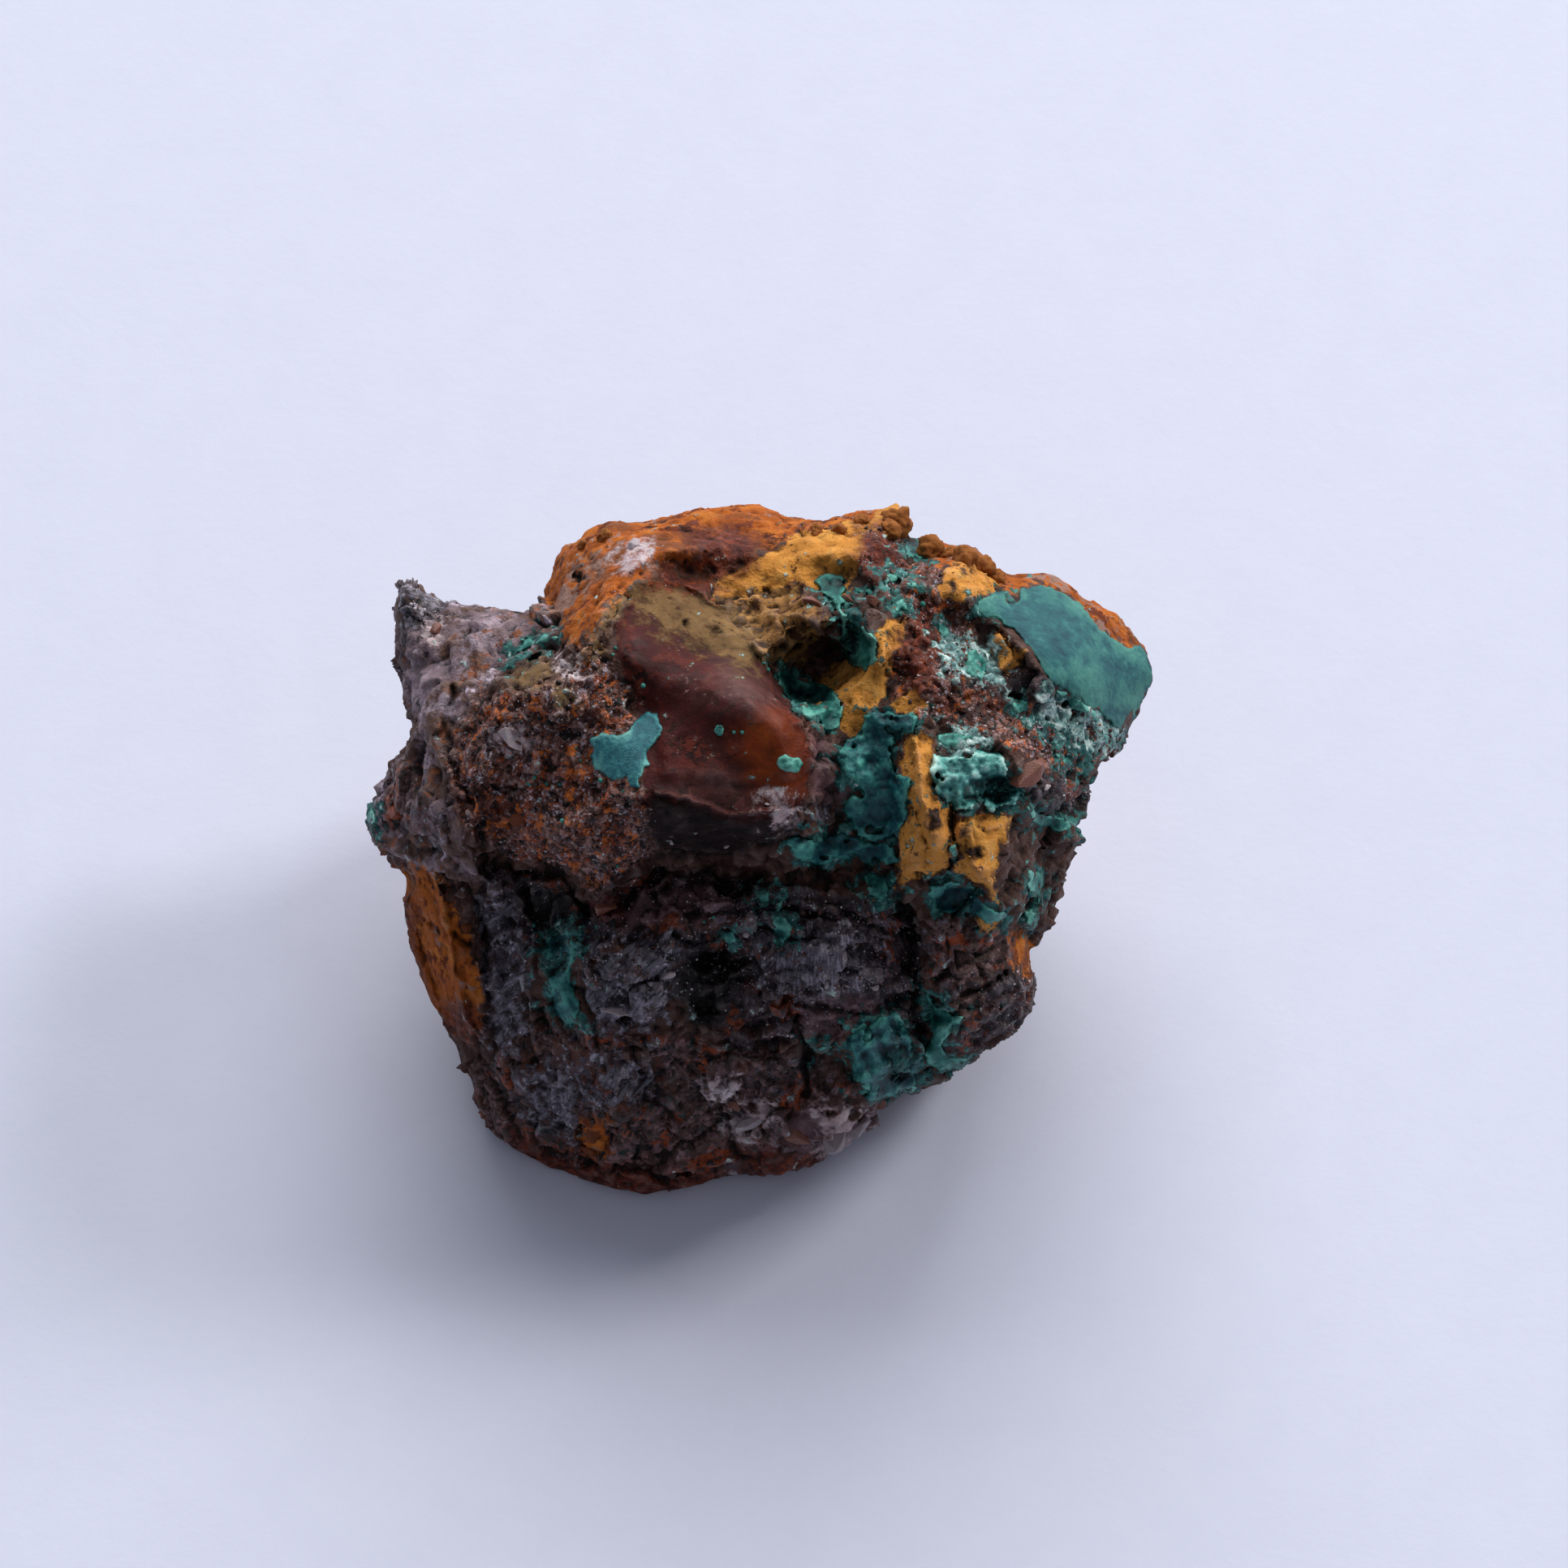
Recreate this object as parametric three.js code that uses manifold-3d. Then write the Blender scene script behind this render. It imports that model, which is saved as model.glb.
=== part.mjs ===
// Pseudomalachite on gossan: a broken lump of iron-stained rock with blue-green pseudomalachite crusts.
// Millimetres, +Z up, display side towards -Y, origin on the ground under the middle of the stone.
//
// The display side is laid out on a sheet that faces it, and so leans back from the upright. Its outlines
// are points on the sheet's squares, x to the right and y down, with OVER_ORIGIN in front of the origin.
// Its heights are millimetres out of the sheet.

import * as THREE from "three";
import { mergeVertices } from "three/addons/utils/BufferGeometryUtils.js";
import Module from "manifold-3d";

// Driving dimensions
const STONE_WIDTH = 40;
const STONE_SQUARES = 1000;
const OVER_ORIGIN = [940, 1175];
const LEAN = 60; // degrees
const MIDDLE = [935, 1035]; // the outline is seen whole from here

const RIM_DROP = 3.5; // from the display side's edge back to the widest line
const RIM_ROUND = 2.6; // how far in the display side's edge is rounded
const HIDDEN_DEPTH = 15; // how far the hidden side goes back from the widest line
const HIDDEN_ROUND = 8;
const HIDDEN_CORE = 9; // height of the widest surface in the middle of the stone
const BLEND = 0.5; // softness where two masses meet
const CORNER_SOFT = 0.05; // square millimetres, rounding the heights at a mass's corners
const FAR_WEIGHT = 1e-9; // what body heights far away still count for

const FACET_SIZE = 3.6; // broken faces of the display side
const FACET_DEPTH = 1.1;
const FACET_SUNK = 0.25; // share of that depth that every facet lies below the smooth surface
const FACE_STARTS = 4; // how far in from the outline they start
const LUMP_SIZE = 4.5;
const LUMP_DEPTH = 0.9;
const GRAIN_SIZE = 1.9;
const GRAIN_DEPTH = 0.22;
const CHIPS = 90; // flat chips off the hidden side, all round
const CHIP_DEPTH = [0.3, 2.2];
const CHIP_REACH = 12; // nearest to CORE_POINT that a chip comes
const CHIP_TESTS = [0.95, 0.85, 0.7, 0.5, 0.3]; // where the hidden side is measured, as shares of the reach
const BREAKS_START = 1.6; // how far from the widest line the surface is fully rough
const CHIPS_START = 5; // and the hidden side fully broken

const RIM_POINTS = 112; // mesh points round the widest line
const RINGS_TO_EDGE = 0.35; // how much closer together the mesh's rings are near that line
const WELD = 1e-5;

const CRUST_GAP = 0.3; // between a crust and the rock under it
const CRUST_BED = 0.35; // how far a crust is let into the rock
const CRUST_DIP = 0.8; // width of the dip round it
const CRUST_STAND = 0.5; // how far it stands proud
const BLOCK_MARGIN = 3;
const NODULE_SIZE = 1.3;
const NODULE_RISE = 0.3;

const GOSSAN_COLOUR = 0x4a3028;
const CRUST_COLOUR = 0x1f6f63;

// Outline of the stone on the display side, clockwise from the ear's tip.
const OUTLINE = [
  [480, 712], [500, 716], [522, 722], [545, 733], [570, 742], [596, 741], [620, 747], [645, 747],
  [664, 738], [673, 722], [675, 695], [684, 674], [700, 662], [722, 652], [750, 641], [782, 637],
  [804, 634], [822, 625], [850, 622], [880, 618], [905, 616], [930, 617], [945, 624], [954, 636],
  [967, 641], [978, 631], [1000, 633], [1022, 632], [1040, 625], [1062, 626], [1080, 624], [1092, 618],
  [1100, 607], [1112, 607], [1118, 618], [1113, 640], [1118, 660], [1132, 668], [1148, 662], [1160, 657],
  [1178, 668], [1192, 662], [1206, 663], [1218, 676], [1222, 694], [1234, 704], [1262, 704], [1282, 700],
  [1302, 703], [1324, 719], [1348, 730], [1378, 748], [1402, 772], [1418, 797], [1430, 818], [1439, 838],
  [1434, 852], [1416, 857], [1403, 876], [1407, 896], [1392, 912], [1384, 924], [1364, 940], [1346, 960],
  [1336, 985], [1330, 1012], [1324, 1042], [1314, 1072], [1308, 1096], [1302, 1122], [1298, 1142],
  [1284, 1158], [1272, 1172], [1272, 1194], [1284, 1206], [1282, 1230], [1272, 1250], [1264, 1272],
  [1248, 1286], [1222, 1292], [1198, 1312], [1184, 1322], [1160, 1322], [1136, 1340], [1106, 1362],
  [1078, 1384], [1044, 1414], [1026, 1432], [1002, 1440], [975, 1452], [930, 1450], [890, 1452],
  [862, 1466], [832, 1472], [802, 1483], [760, 1476], [722, 1466], [690, 1455], [662, 1444], [636, 1424],
  [604, 1402], [580, 1374], [568, 1330], [560, 1292], [530, 1250], [512, 1218], [500, 1172], [490, 1132],
  [488, 1112], [500, 1096], [500, 1078], [474, 1062], [452, 1040], [441, 1012], [446, 985], [466, 960],
  [486, 934], [503, 908], [511, 892], [496, 862], [484, 826], [470, 788], [480, 766], [480, 740],
];

// Height of the stone's body under and between its masses, row by row down the sheet.
const BODY = [
  [720, 640, 9.6], [800, 640, 10], [900, 635, 10.4], [1000, 645, 11.4], [1100, 640, 12], [1170, 665, 12],
  [700, 700, 10.4], [800, 690, 12], [900, 695, 14.4], [1000, 695, 15.6], [1100, 700, 16.4],
  [1170, 705, 14.6], [1230, 715, 12.4], [1290, 712, 10.8], [500, 780, 9.4], [560, 775, 10.2],
  [640, 775, 12], [700, 780, 15], [1100, 780, 19], [1180, 780, 18.4], [1250, 780, 16.4], [1330, 780, 12.6],
  [1405, 800, 10], [510, 860, 10.4], [570, 860, 13.2], [625, 850, 16.4], [1060, 860, 19.8],
  [1150, 860, 20], [1230, 860, 19], [1300, 870, 16.4], [1360, 870, 13.4], [1415, 850, 10.4],
  [460, 960, 10.2], [520, 940, 12.6], [580, 950, 16.4], [1060, 950, 20.2], [1180, 950, 20],
  [1270, 950, 17.8], [1335, 960, 13.6], [455, 1035, 9.8], [520, 1040, 12.2], [590, 1040, 15],
  [1000, 1040, 20], [1120, 1040, 20], [1220, 1040, 18.6], [1300, 1040, 14], [500, 1110, 9.2],
  [560, 1110, 11.6], [640, 1110, 14.4], [720, 1110, 16], [820, 1110, 17.2], [920, 1110, 18],
  [1020, 1110, 18.4], [1120, 1110, 18.2], [1220, 1110, 16.6], [1290, 1110, 12.8], [510, 1190, 8.6],
  [570, 1190, 10.8], [640, 1190, 14.2], [720, 1190, 17.2], [820, 1190, 18], [920, 1190, 18],
  [1020, 1190, 17.6], [1120, 1190, 16.2], [1200, 1190, 15.4], [1265, 1190, 12.6], [550, 1270, 8.4],
  [620, 1270, 11.8], [700, 1270, 15.2], [800, 1270, 16.2], [900, 1270, 16], [1000, 1270, 15.4],
  [1100, 1270, 13.8], [1180, 1270, 12.8], [1250, 1260, 11.4], [580, 1350, 8.2], [660, 1350, 11.2],
  [740, 1350, 13.4], [840, 1350, 13.6], [940, 1350, 13.4], [1030, 1350, 12.4], [1110, 1340, 11],
  [650, 1430, 8.4], [720, 1430, 10], [800, 1440, 10], [900, 1430, 9.8], [1000, 1420, 9.6],
];
const BODY_REACH = 1.7; // how far a body height carries, mm

// Masses that stand out of the body: corner heights, and how steeply the sides fall, in mm to a mm.
const MASSES = {
  jasper: {
    fall: 2.6,
    corners: [
      [700, 838, 20.2], [738, 770, 20.8], [775, 735, 21.6], [812, 711, 22.2], [850, 722, 22.2],
      [900, 742, 22], [935, 790, 22.2], [962, 832, 22.6], [985, 880, 23], [1000, 930, 23.2],
      [985, 985, 23.2], [900, 1012, 23.4], [812, 1012, 23.2], [790, 960, 22.8], [755, 890, 22],
    ],
  },
  jasperFoot: {
    fall: 2.2,
    corners: [
      [806, 1000, 23.2], [900, 1000, 23.4], [990, 975, 23], [1012, 1035, 21.6], [972, 1058, 21],
      [870, 1054, 21.2], [800, 1056, 21.6],
    ],
  },
  granularShoulder: {
    fall: 2,
    corners: [
      [578, 935, 18.8], [604, 882, 19.8], [648, 850, 20.4], [700, 845, 20.8], [760, 885, 22.2],
      [812, 960, 23], [820, 1012, 23], [795, 1050, 22.4], [735, 1104, 21.8], [700, 1066, 21.2],
      [650, 1056, 19.8], [600, 1036, 18.2], [580, 1000, 18.2],
    ],
  },
  ochreLedge: {
    fall: 2.6,
    corners: [
      [895, 742, 21.8], [960, 735, 21.4], [985, 712, 20.8], [1015, 716, 20.8], [1042, 748, 20.8],
      [1036, 790, 20.8], [998, 798, 20.8], [972, 822, 21.6], [940, 795, 22],
    ],
  },
  backKnob: {
    fall: 1.8,
    corners: [
      [680, 738, 12.4], [678, 700, 11.6], [700, 668, 11], [752, 648, 11], [800, 660, 12], [812, 700, 14.4],
      [770, 725, 15.6], [735, 752, 15],
    ],
  },
  backCrag: {
    fall: 2.2,
    corners: [
      [1070, 650, 14.2], [1092, 622, 13.2], [1112, 612, 13], [1112, 650, 14], [1110, 695, 16.8],
      [1085, 715, 18], [1062, 700, 17],
    ],
  },
  brownCrags: {
    fall: 2,
    corners: [
      [1120, 676, 14.8], [1158, 662, 13.4], [1206, 668, 12.6], [1218, 700, 13.8], [1190, 745, 17.6],
      [1150, 740, 18.2], [1120, 720, 17.6],
    ],
  },
  ear: {
    fall: 2,
    corners: [
      [482, 716, 10.2], [540, 735, 10.6], [600, 746, 11.4], [655, 752, 12.6], [690, 795, 15.2],
      [640, 826, 15], [590, 850, 13.8], [540, 876, 12.4], [512, 880, 11.4], [488, 820, 10.4],
      [476, 785, 10],
    ],
  },
  leftRidge: {
    fall: 1.8,
    corners: [
      [508, 905, 12.8], [545, 890, 14.8], [572, 940, 17.4], [575, 1005, 17.4], [600, 1045, 17.2],
      [590, 1078, 15.8], [540, 1050, 14.8], [500, 960, 13],
    ],
  },
  leftSnout: {
    fall: 2,
    corners: [
      [446, 1008, 11.6], [468, 966, 12.2], [512, 962, 14], [532, 1010, 14.8], [575, 1075, 14.8],
      [500, 1070, 12.6], [462, 1046, 11.6],
    ],
  },
  orangePlate: {
    fall: 2,
    corners: [
      [494, 1120, 9.8], [506, 1082, 10.8], [545, 1088, 12.6], [572, 1130, 13.2], [592, 1180, 13.2],
      [594, 1278, 11.6], [562, 1272, 10.4], [516, 1212, 9.6],
    ],
  },
  shoulderPlate: {
    fall: 2.4,
    corners: [
      [1195, 745, 19], [1262, 708, 14.6], [1320, 740, 12.6], [1380, 790, 11.2], [1432, 840, 10.6],
      [1400, 885, 12.2], [1388, 910, 12.8], [1330, 862, 16.4], [1290, 846, 19], [1268, 806, 19.6],
    ],
  },
  greenPocket: {
    fall: 2.2,
    corners: [
      [1142, 926, 21.8], [1200, 918, 21.8], [1240, 930, 21], [1262, 970, 19.8], [1222, 1004, 19.8],
      [1165, 992, 21],
    ],
  },
  ochreRib: {
    fall: 3,
    corners: [
      [1112, 898, 21.8], [1138, 904, 22], [1146, 965, 22.4], [1156, 1000, 22.6], [1172, 1022, 22.4],
      [1160, 1068, 21.6], [1138, 1086, 20.8], [1104, 1084, 20.6], [1112, 1035, 21.8], [1110, 960, 22],
    ],
  },
  ochreLobe: {
    fall: 3,
    corners: [
      [1170, 1010, 22], [1226, 1000, 21.6], [1230, 1050, 21], [1224, 1114, 19.4], [1200, 1084, 20.4],
      [1168, 1066, 21.4],
    ],
  },
  greenLobe: {
    fall: 2.6,
    corners: [
      [1008, 718, 21], [1044, 712, 20.8], [1062, 758, 21.8], [1080, 812, 22], [1056, 826, 22],
      [1040, 792, 21.8],
    ],
  },
  lowerBrow: {
    fall: 1.8,
    corners: [
      [745, 1130, 20], [860, 1110, 19.8], [960, 1094, 20], [1080, 1110, 20], [1112, 1150, 19],
      [1040, 1160, 19.2], [940, 1166, 19.2], [850, 1166, 19], [800, 1225, 18.6], [735, 1240, 17.8],
      [715, 1180, 18.6],
    ],
  },
  fibrousBelly: {
    fall: 1.6,
    corners: [
      [935, 1190, 18.8], [1010, 1180, 19], [1090, 1186, 17.8], [1104, 1230, 16.6], [1050, 1262, 16.4],
      [960, 1272, 16.8], [905, 1240, 17.6],
    ],
  },
  lobeRidge: {
    fall: 2,
    corners: [
      [1150, 1128, 18.8], [1215, 1128, 18], [1262, 1200, 15.4], [1276, 1232, 14.4], [1240, 1276, 14],
      [1190, 1288, 14.8], [1162, 1240, 17.2],
    ],
  },
  footKnob: {
    fall: 2,
    corners: [
      [1050, 1264, 16.4], [1112, 1262, 15.6], [1128, 1318, 13.4], [1080, 1348, 13.2], [1044, 1320, 14.8],
    ],
  },
  quartzKnob: {
    fall: 2,
    corners: [
      [985, 1358, 14.2], [1060, 1352, 13.6], [1088, 1364, 12.2], [1040, 1410, 11], [980, 1432, 10.8],
      [930, 1396, 12.8],
    ],
  },
  bladeBank: {
    fall: 2,
    corners: [
      [735, 1270, 17.2], [800, 1280, 17.4], [830, 1340, 15.4], [790, 1370, 14.2], [740, 1350, 14.8],
    ],
  },
};

// Hollows sunk into the masses: corner depths, and how steeply the walls rise.
const HOLLOWS = {
  cave: {
    rise: 4,
    corners: [[970, 836, 15.6], [988, 806, 14.8], [1040, 795, 14.6], [1042, 816, 15], [1002, 842, 15.8]],
  },
  shoulderUndercut: {
    rise: 2.4,
    corners: [
      [606, 1056, 14.6], [650, 1072, 15], [700, 1086, 15.6], [731, 1122, 16], [716, 1148, 16],
      [682, 1160, 15.4], [640, 1136, 14.2],
    ],
  },
  jasperUndercut: {
    rise: 2.4,
    corners: [
      [764, 1106, 16.4], [806, 1080, 16.8], [870, 1076, 17], [948, 1082, 17.6], [930, 1098, 17.6],
      [850, 1102, 16.8],
    ],
  },
  browPit: {
    rise: 2.2,
    corners: [
      [850, 1180, 16], [885, 1168, 15.6], [926, 1190, 16], [912, 1214, 15.8], [886, 1262, 14.6],
      [862, 1240, 15.2],
    ],
  },
  lobeCleft: {
    rise: 2.4,
    corners: [
      [1122, 1146, 16.8], [1138, 1190, 14.8], [1150, 1240, 13.4], [1146, 1288, 12], [1132, 1288, 12.4],
      [1126, 1210, 14.8],
    ],
  },
  backTrough: {
    rise: 1.4,
    corners: [
      [850, 700, 14.4], [900, 718, 15], [980, 700, 15.6], [1045, 702, 16.2], [985, 680, 14.8],
      [900, 680, 13.8],
    ],
  },
};

// Fracture faces on the hidden side: the way each faces, in degrees round from +X and down from +Z, and its
// distance from CORE_POINT.
const CORE_POINT = new THREE.Vector3(0, -1, 12);
const FRACTURES = [
  [90, 88, 17], [50, 84, 19.8], [135, 84, 19.4], [12, 96, 18.2], [172, 96, 18.2], [90, 122, 17.2],
  [30, 118, 17], [150, 122, 16.6], [-150, 120, 15.6], [-40, 124, 15.4], [-95, 132, 14.4], [66, 104, 18.2],
  [112, 106, 17.6],
];

// Pseudomalachite crusts, each one patch that grew by itself.
const CRUSTS = {
  crust_shoulder_plate: [
    [1200, 748], [1216, 730], [1240, 722], [1262, 710], [1290, 724], [1330, 752], [1362, 786], [1380, 800],
    [1400, 798], [1418, 814], [1432, 838], [1424, 850], [1404, 856], [1392, 880], [1398, 895], [1386, 906],
    [1362, 888], [1330, 862], [1300, 845], [1284, 836], [1266, 798], [1244, 776], [1218, 760],
  ],
  crust_jasper_patch: [
    [728, 908], [742, 903], [766, 908], [788, 886], [804, 878], [814, 892], [810, 918], [802, 950],
    [798, 972], [766, 962], [744, 950], [732, 930],
  ],
  crust_cave_lip: [
    [952, 826], [972, 836], [992, 846], [1016, 843], [1024, 864], [1036, 872], [1030, 896], [1012, 900],
    [994, 886], [972, 866], [956, 846],
  ],
  crust_cave_curtain: [
    [1005, 716], [1042, 713], [1048, 744], [1064, 762], [1078, 796], [1078, 816], [1058, 827], [1044, 820],
    [1040, 790], [1028, 746],
  ],
  crust_rib_side: [
    [1060, 886], [1106, 884], [1104, 904], [1078, 920], [1086, 950], [1102, 960], [1104, 1020],
    [1088, 1038], [1050, 1030], [1036, 1000], [1052, 984], [1034, 950], [1032, 918],
  ],
  crust_pocket: [
    [1152, 930], [1172, 918], [1204, 924], [1232, 928], [1250, 950], [1262, 976], [1250, 996],
    [1222, 1000], [1184, 996], [1160, 984], [1152, 958],
  ],
  crust_ledge: [
    [966, 1036], [986, 1024], [1016, 1022], [1040, 1040], [1080, 1050], [1094, 1066], [1072, 1084],
    [1040, 1068], [1006, 1060], [980, 1050],
  ],
  crust_blade: [
    [1148, 1102], [1164, 1086], [1200, 1096], [1214, 1120], [1244, 1126], [1236, 1142], [1200, 1130],
    [1160, 1122],
  ],
  crust_foot: [
    [1048, 1280], [1078, 1258], [1100, 1266], [1118, 1250], [1128, 1290], [1126, 1324], [1112, 1346],
    [1074, 1350], [1050, 1334], [1064, 1306],
  ],
  crust_lobe_edge: [
    [1138, 1212], [1156, 1232], [1172, 1252], [1166, 1286], [1196, 1300], [1184, 1318], [1158, 1318],
    [1142, 1300], [1154, 1270], [1150, 1240],
  ],
  crust_left_fan: [
    [670, 1160], [700, 1148], [712, 1164], [702, 1200], [716, 1244], [704, 1266], [686, 1250], [678, 1214],
  ],
};

// The sheet of the display side, and the directions of its axes in the stone's frame.
const SQUARE = STONE_WIDTH / STONE_SQUARES;
const LEAN_RADIANS = THREE.MathUtils.degToRad(LEAN);
const SHEET_RIGHT = new THREE.Vector3(1, 0, 0);
const SHEET_UP = new THREE.Vector3(0, Math.sin(LEAN_RADIANS), Math.cos(LEAN_RADIANS));
const SHEET_OUT = new THREE.Vector3(0, -Math.cos(LEAN_RADIANS), Math.sin(LEAN_RADIANS));
const toSheet = ([x, y, ...height]) =>
  [(x - OVER_ORIGIN[0]) * SQUARE, (OVER_ORIGIN[1] - y) * SQUARE, ...height];
const toStone = (u, v, w) =>
  new THREE.Vector3(u, 0, 0).addScaledVector(SHEET_UP, v).addScaledVector(SHEET_OUT, w);

const CENTRE = toSheet(MIDDLE);
const outline = OUTLINE.map(toSheet).reverse(); // anticlockwise
const body = BODY.map(toSheet);
const onSheet = ({ corners, ...rest }) => ({ ...rest, corners: corners.map(toSheet) });
const masses = Object.values(MASSES).map(onSheet);
const hollows = Object.values(HOLLOWS).map(onSheet);
const crusts = Object.entries(CRUSTS).map(([name, points]) => ({ name, edge: points.map(toSheet) }));

// Distance from a point to a closed outline, positive inside.
function insideDistance(points, u, v) {
  let nearest = Infinity;
  let inside = false;
  points.forEach(([au, av], i) => {
    const [bu, bv] = points[(i + 1) % points.length];
    const along = THREE.MathUtils.clamp(
      ((u - au) * (bu - au) + (v - av) * (bv - av)) / ((bu - au) ** 2 + (bv - av) ** 2), 0, 1);
    nearest = Math.min(nearest, Math.hypot(u - au - along * (bu - au), v - av - along * (bv - av)));
    if (av > v !== bv > v && u < au + ((v - av) / (bv - av)) * (bu - au)) inside = !inside;
  });
  return inside ? nearest : -nearest;
}

// Repeatable scatter from 0 to 1 for each cell of a lattice and a seed. Unrelated strides hide any pattern.
const STRIDES = [127.1, 311.7, 74.7, 53.3];
const SPREAD = 43758.5453;
function scatter(...cell) {
  const wave = SPREAD * Math.sin(cell.reduce((sum, t, axis) => sum + t * STRIDES[axis], 0));
  return wave - Math.floor(wave);
}

const cube = (steps) => steps.flatMap((i) => steps.flatMap((j) => steps.map((k) => [i, j, k])));
const CELL_CORNERS = cube([0, 1]);
const NEIGHBOUR_CELLS = cube([-1, 0, 1]);

// Smooth lumps, from -1 to 1.
function lumps(place, size, seed) {
  const at = place.map((t) => t / size);
  const cell = at.map(Math.floor);
  const share = at.map((t, axis) => THREE.MathUtils.smoothstep(t - cell[axis], 0, 1));
  let sum = 0;
  for (const corner of CELL_CORNERS) {
    const sides = corner.map((side, axis) => (side ? share[axis] : 1 - share[axis]));
    const weight = sides[0] * sides[1] * sides[2];
    sum += weight * scatter(...cell.map((c, axis) => c + corner[axis]), seed);
  }
  return 2 * sum - 1;
}

// Broken faces: space is split into cells round scattered sites, and each cell has its own tilted plane.
function facets(place, size) {
  const at = place.map((t) => t / size);
  let nearest = Infinity;
  let height = 0;
  for (const step of NEIGHBOUR_CELLS) {
    const cell = at.map((t, axis) => Math.floor(t) + step[axis]);
    const away = at.map((t, axis) => t - cell[axis] - scatter(...cell, axis));
    const distance = Math.hypot(...away);
    if (distance < nearest) {
      nearest = distance;
      height = scatter(...cell, 3) - 0.5;
      away.forEach((a, axis) => (height += a * (2 * scatter(...cell, 4 + axis) - 1)));
    }
  }
  return height;
}

const roughness = (place) =>
  LUMP_DEPTH * lumps(place, LUMP_SIZE, 8) + GRAIN_DEPTH * lumps(place, GRAIN_SIZE, 9);

function cornerHeight(corners, u, v) {
  let sum = 0;
  let total = 0;
  for (const [cu, cv, height] of corners) {
    const weight = 1 / ((u - cu) ** 2 + (v - cv) ** 2 + CORNER_SOFT);
    sum += weight * height;
    total += weight;
  }
  return sum / total;
}

function bodyHeight(u, v) {
  let sum = 0;
  let total = 0;
  for (const [cu, cv, height] of body) {
    const away = (u - cu) ** 2 + (v - cv) ** 2;
    const weight = Math.exp(-away / (2 * BODY_REACH ** 2)) + FAR_WEIGHT / (1 + away);
    sum += weight * height;
    total += weight;
  }
  return sum / total;
}

const softMax = (a, b) => {
  const mix = Math.max(BLEND - Math.abs(a - b), 0) / BLEND;
  return Math.max(a, b) + (mix * mix * BLEND) / 4;
};
const softMin = (a, b) => -softMax(-a, -b);

// Height of the rock's display side.
function relief(u, v) {
  const outside = (corners) => Math.max(0, -insideDistance(corners, u, v));
  let height = bodyHeight(u, v);
  for (const { fall, corners } of masses)
    height = softMax(height, cornerHeight(corners, u, v) - fall * outside(corners));
  for (const { rise, corners } of hollows)
    height = softMin(height, cornerHeight(corners, u, v) + rise * outside(corners));
  return height;
}

const swell = (distance, round) => Math.sqrt(1 - (1 - THREE.MathUtils.clamp(distance / round, 0, 1)) ** 2);

// Outline points with the longest sides split, until there is one for each mesh point round the widest line.
function spreadOutline(points, count) {
  const spread = [...points];
  while (spread.length < count) {
    const next = (i) => spread[(i + 1) % spread.length];
    const lengths = spread.map(([u, v], i) => Math.hypot(u - next(i)[0], v - next(i)[1]));
    const longest = lengths.indexOf(Math.max(...lengths));
    const [a, b] = [spread[longest], next(longest)];
    spread.splice(longest + 1, 0, [(a[0] + b[0]) / 2, (a[1] + b[1]) / 2]);
  }
  return spread;
}

const rim = spreadOutline(outline, RIM_POINTS).map(([u, v]) => [u, v, bodyHeight(u, v) - RIM_DROP]);

// The widest line's point a share of the way round it.
function rimAt(turn) {
  const place = turn * rim.length;
  const first = rim[Math.floor(place) % rim.length];
  const second = rim[(Math.floor(place) + 1) % rim.length];
  return first.map((value, axis) => THREE.MathUtils.lerp(value, second[axis], place - Math.floor(place)));
}

// The outer faces are lumpy, and the display face is broken along its own depth.
function displayPoint(u, v, rimW, inset, lift) {
  const height = THREE.MathUtils.lerp(rimW, relief(u, v), swell(inset, RIM_ROUND));
  const face = THREE.MathUtils.clamp(inset / FACE_STARTS, 0, 1);
  const point = toStone(u, v, height);
  const broken = FACET_DEPTH * (facets([...point], FACET_SIZE) - FACET_SUNK) * face;
  const outwards = point.clone().sub(CORE_POINT).normalize().lerp(SHEET_OUT, face);
  const fade = THREE.MathUtils.clamp((height - rimW) / BREAKS_START, 0, 1);
  point.addScaledVector(outwards, (broken + roughness([...point])) * fade);
  const lifted = lift(point.x, point.dot(SHEET_UP)) * THREE.MathUtils.clamp(inset / CRUST_GAP, 0, 1);
  return point.addScaledVector(SHEET_OUT, lifted);
}

const hiddenDepth = (inset) => HIDDEN_DEPTH * swell(inset, HIDDEN_ROUND);

// From the core to the smooth hidden side, before anything breaks off.
function hiddenArm(u, v, rimW, inset, reach) {
  return toStone(u, v, THREE.MathUtils.lerp(HIDDEN_CORE, rimW, reach) - hiddenDepth(inset)).sub(CORE_POINT);
}

// How much of an arm is left once every break that it crosses has been cut off it.
function shareLeft(arm, breaks) {
  return Math.min(...breaks.map(({ normal, distance }) => distance / Math.max(arm.dot(normal), distance)));
}

// Where the mesh runs between the middle and the widest line: across, up, the line's height, and inset.
function placeInside(turn, reach) {
  const [rimU, rimV, rimW] = rimAt(turn);
  const u = THREE.MathUtils.lerp(CENTRE[0], rimU, reach);
  const v = THREE.MathUtils.lerp(CENTRE[1], rimV, reach);
  return [u, v, rimW, Math.max(insideDistance(outline, u, v), 0)];
}

function facingWay(around, height) {
  const level = Math.sqrt(1 - height ** 2);
  return new THREE.Vector3(level * Math.cos(around), level * Math.sin(around), height);
}

const fractures = FRACTURES.map(([facing, lean, distance]) => {
  const [around, down] = [facing, lean].map(THREE.MathUtils.degToRad);
  return { distance, normal: facingWay(around, Math.cos(down)) };
});

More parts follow.
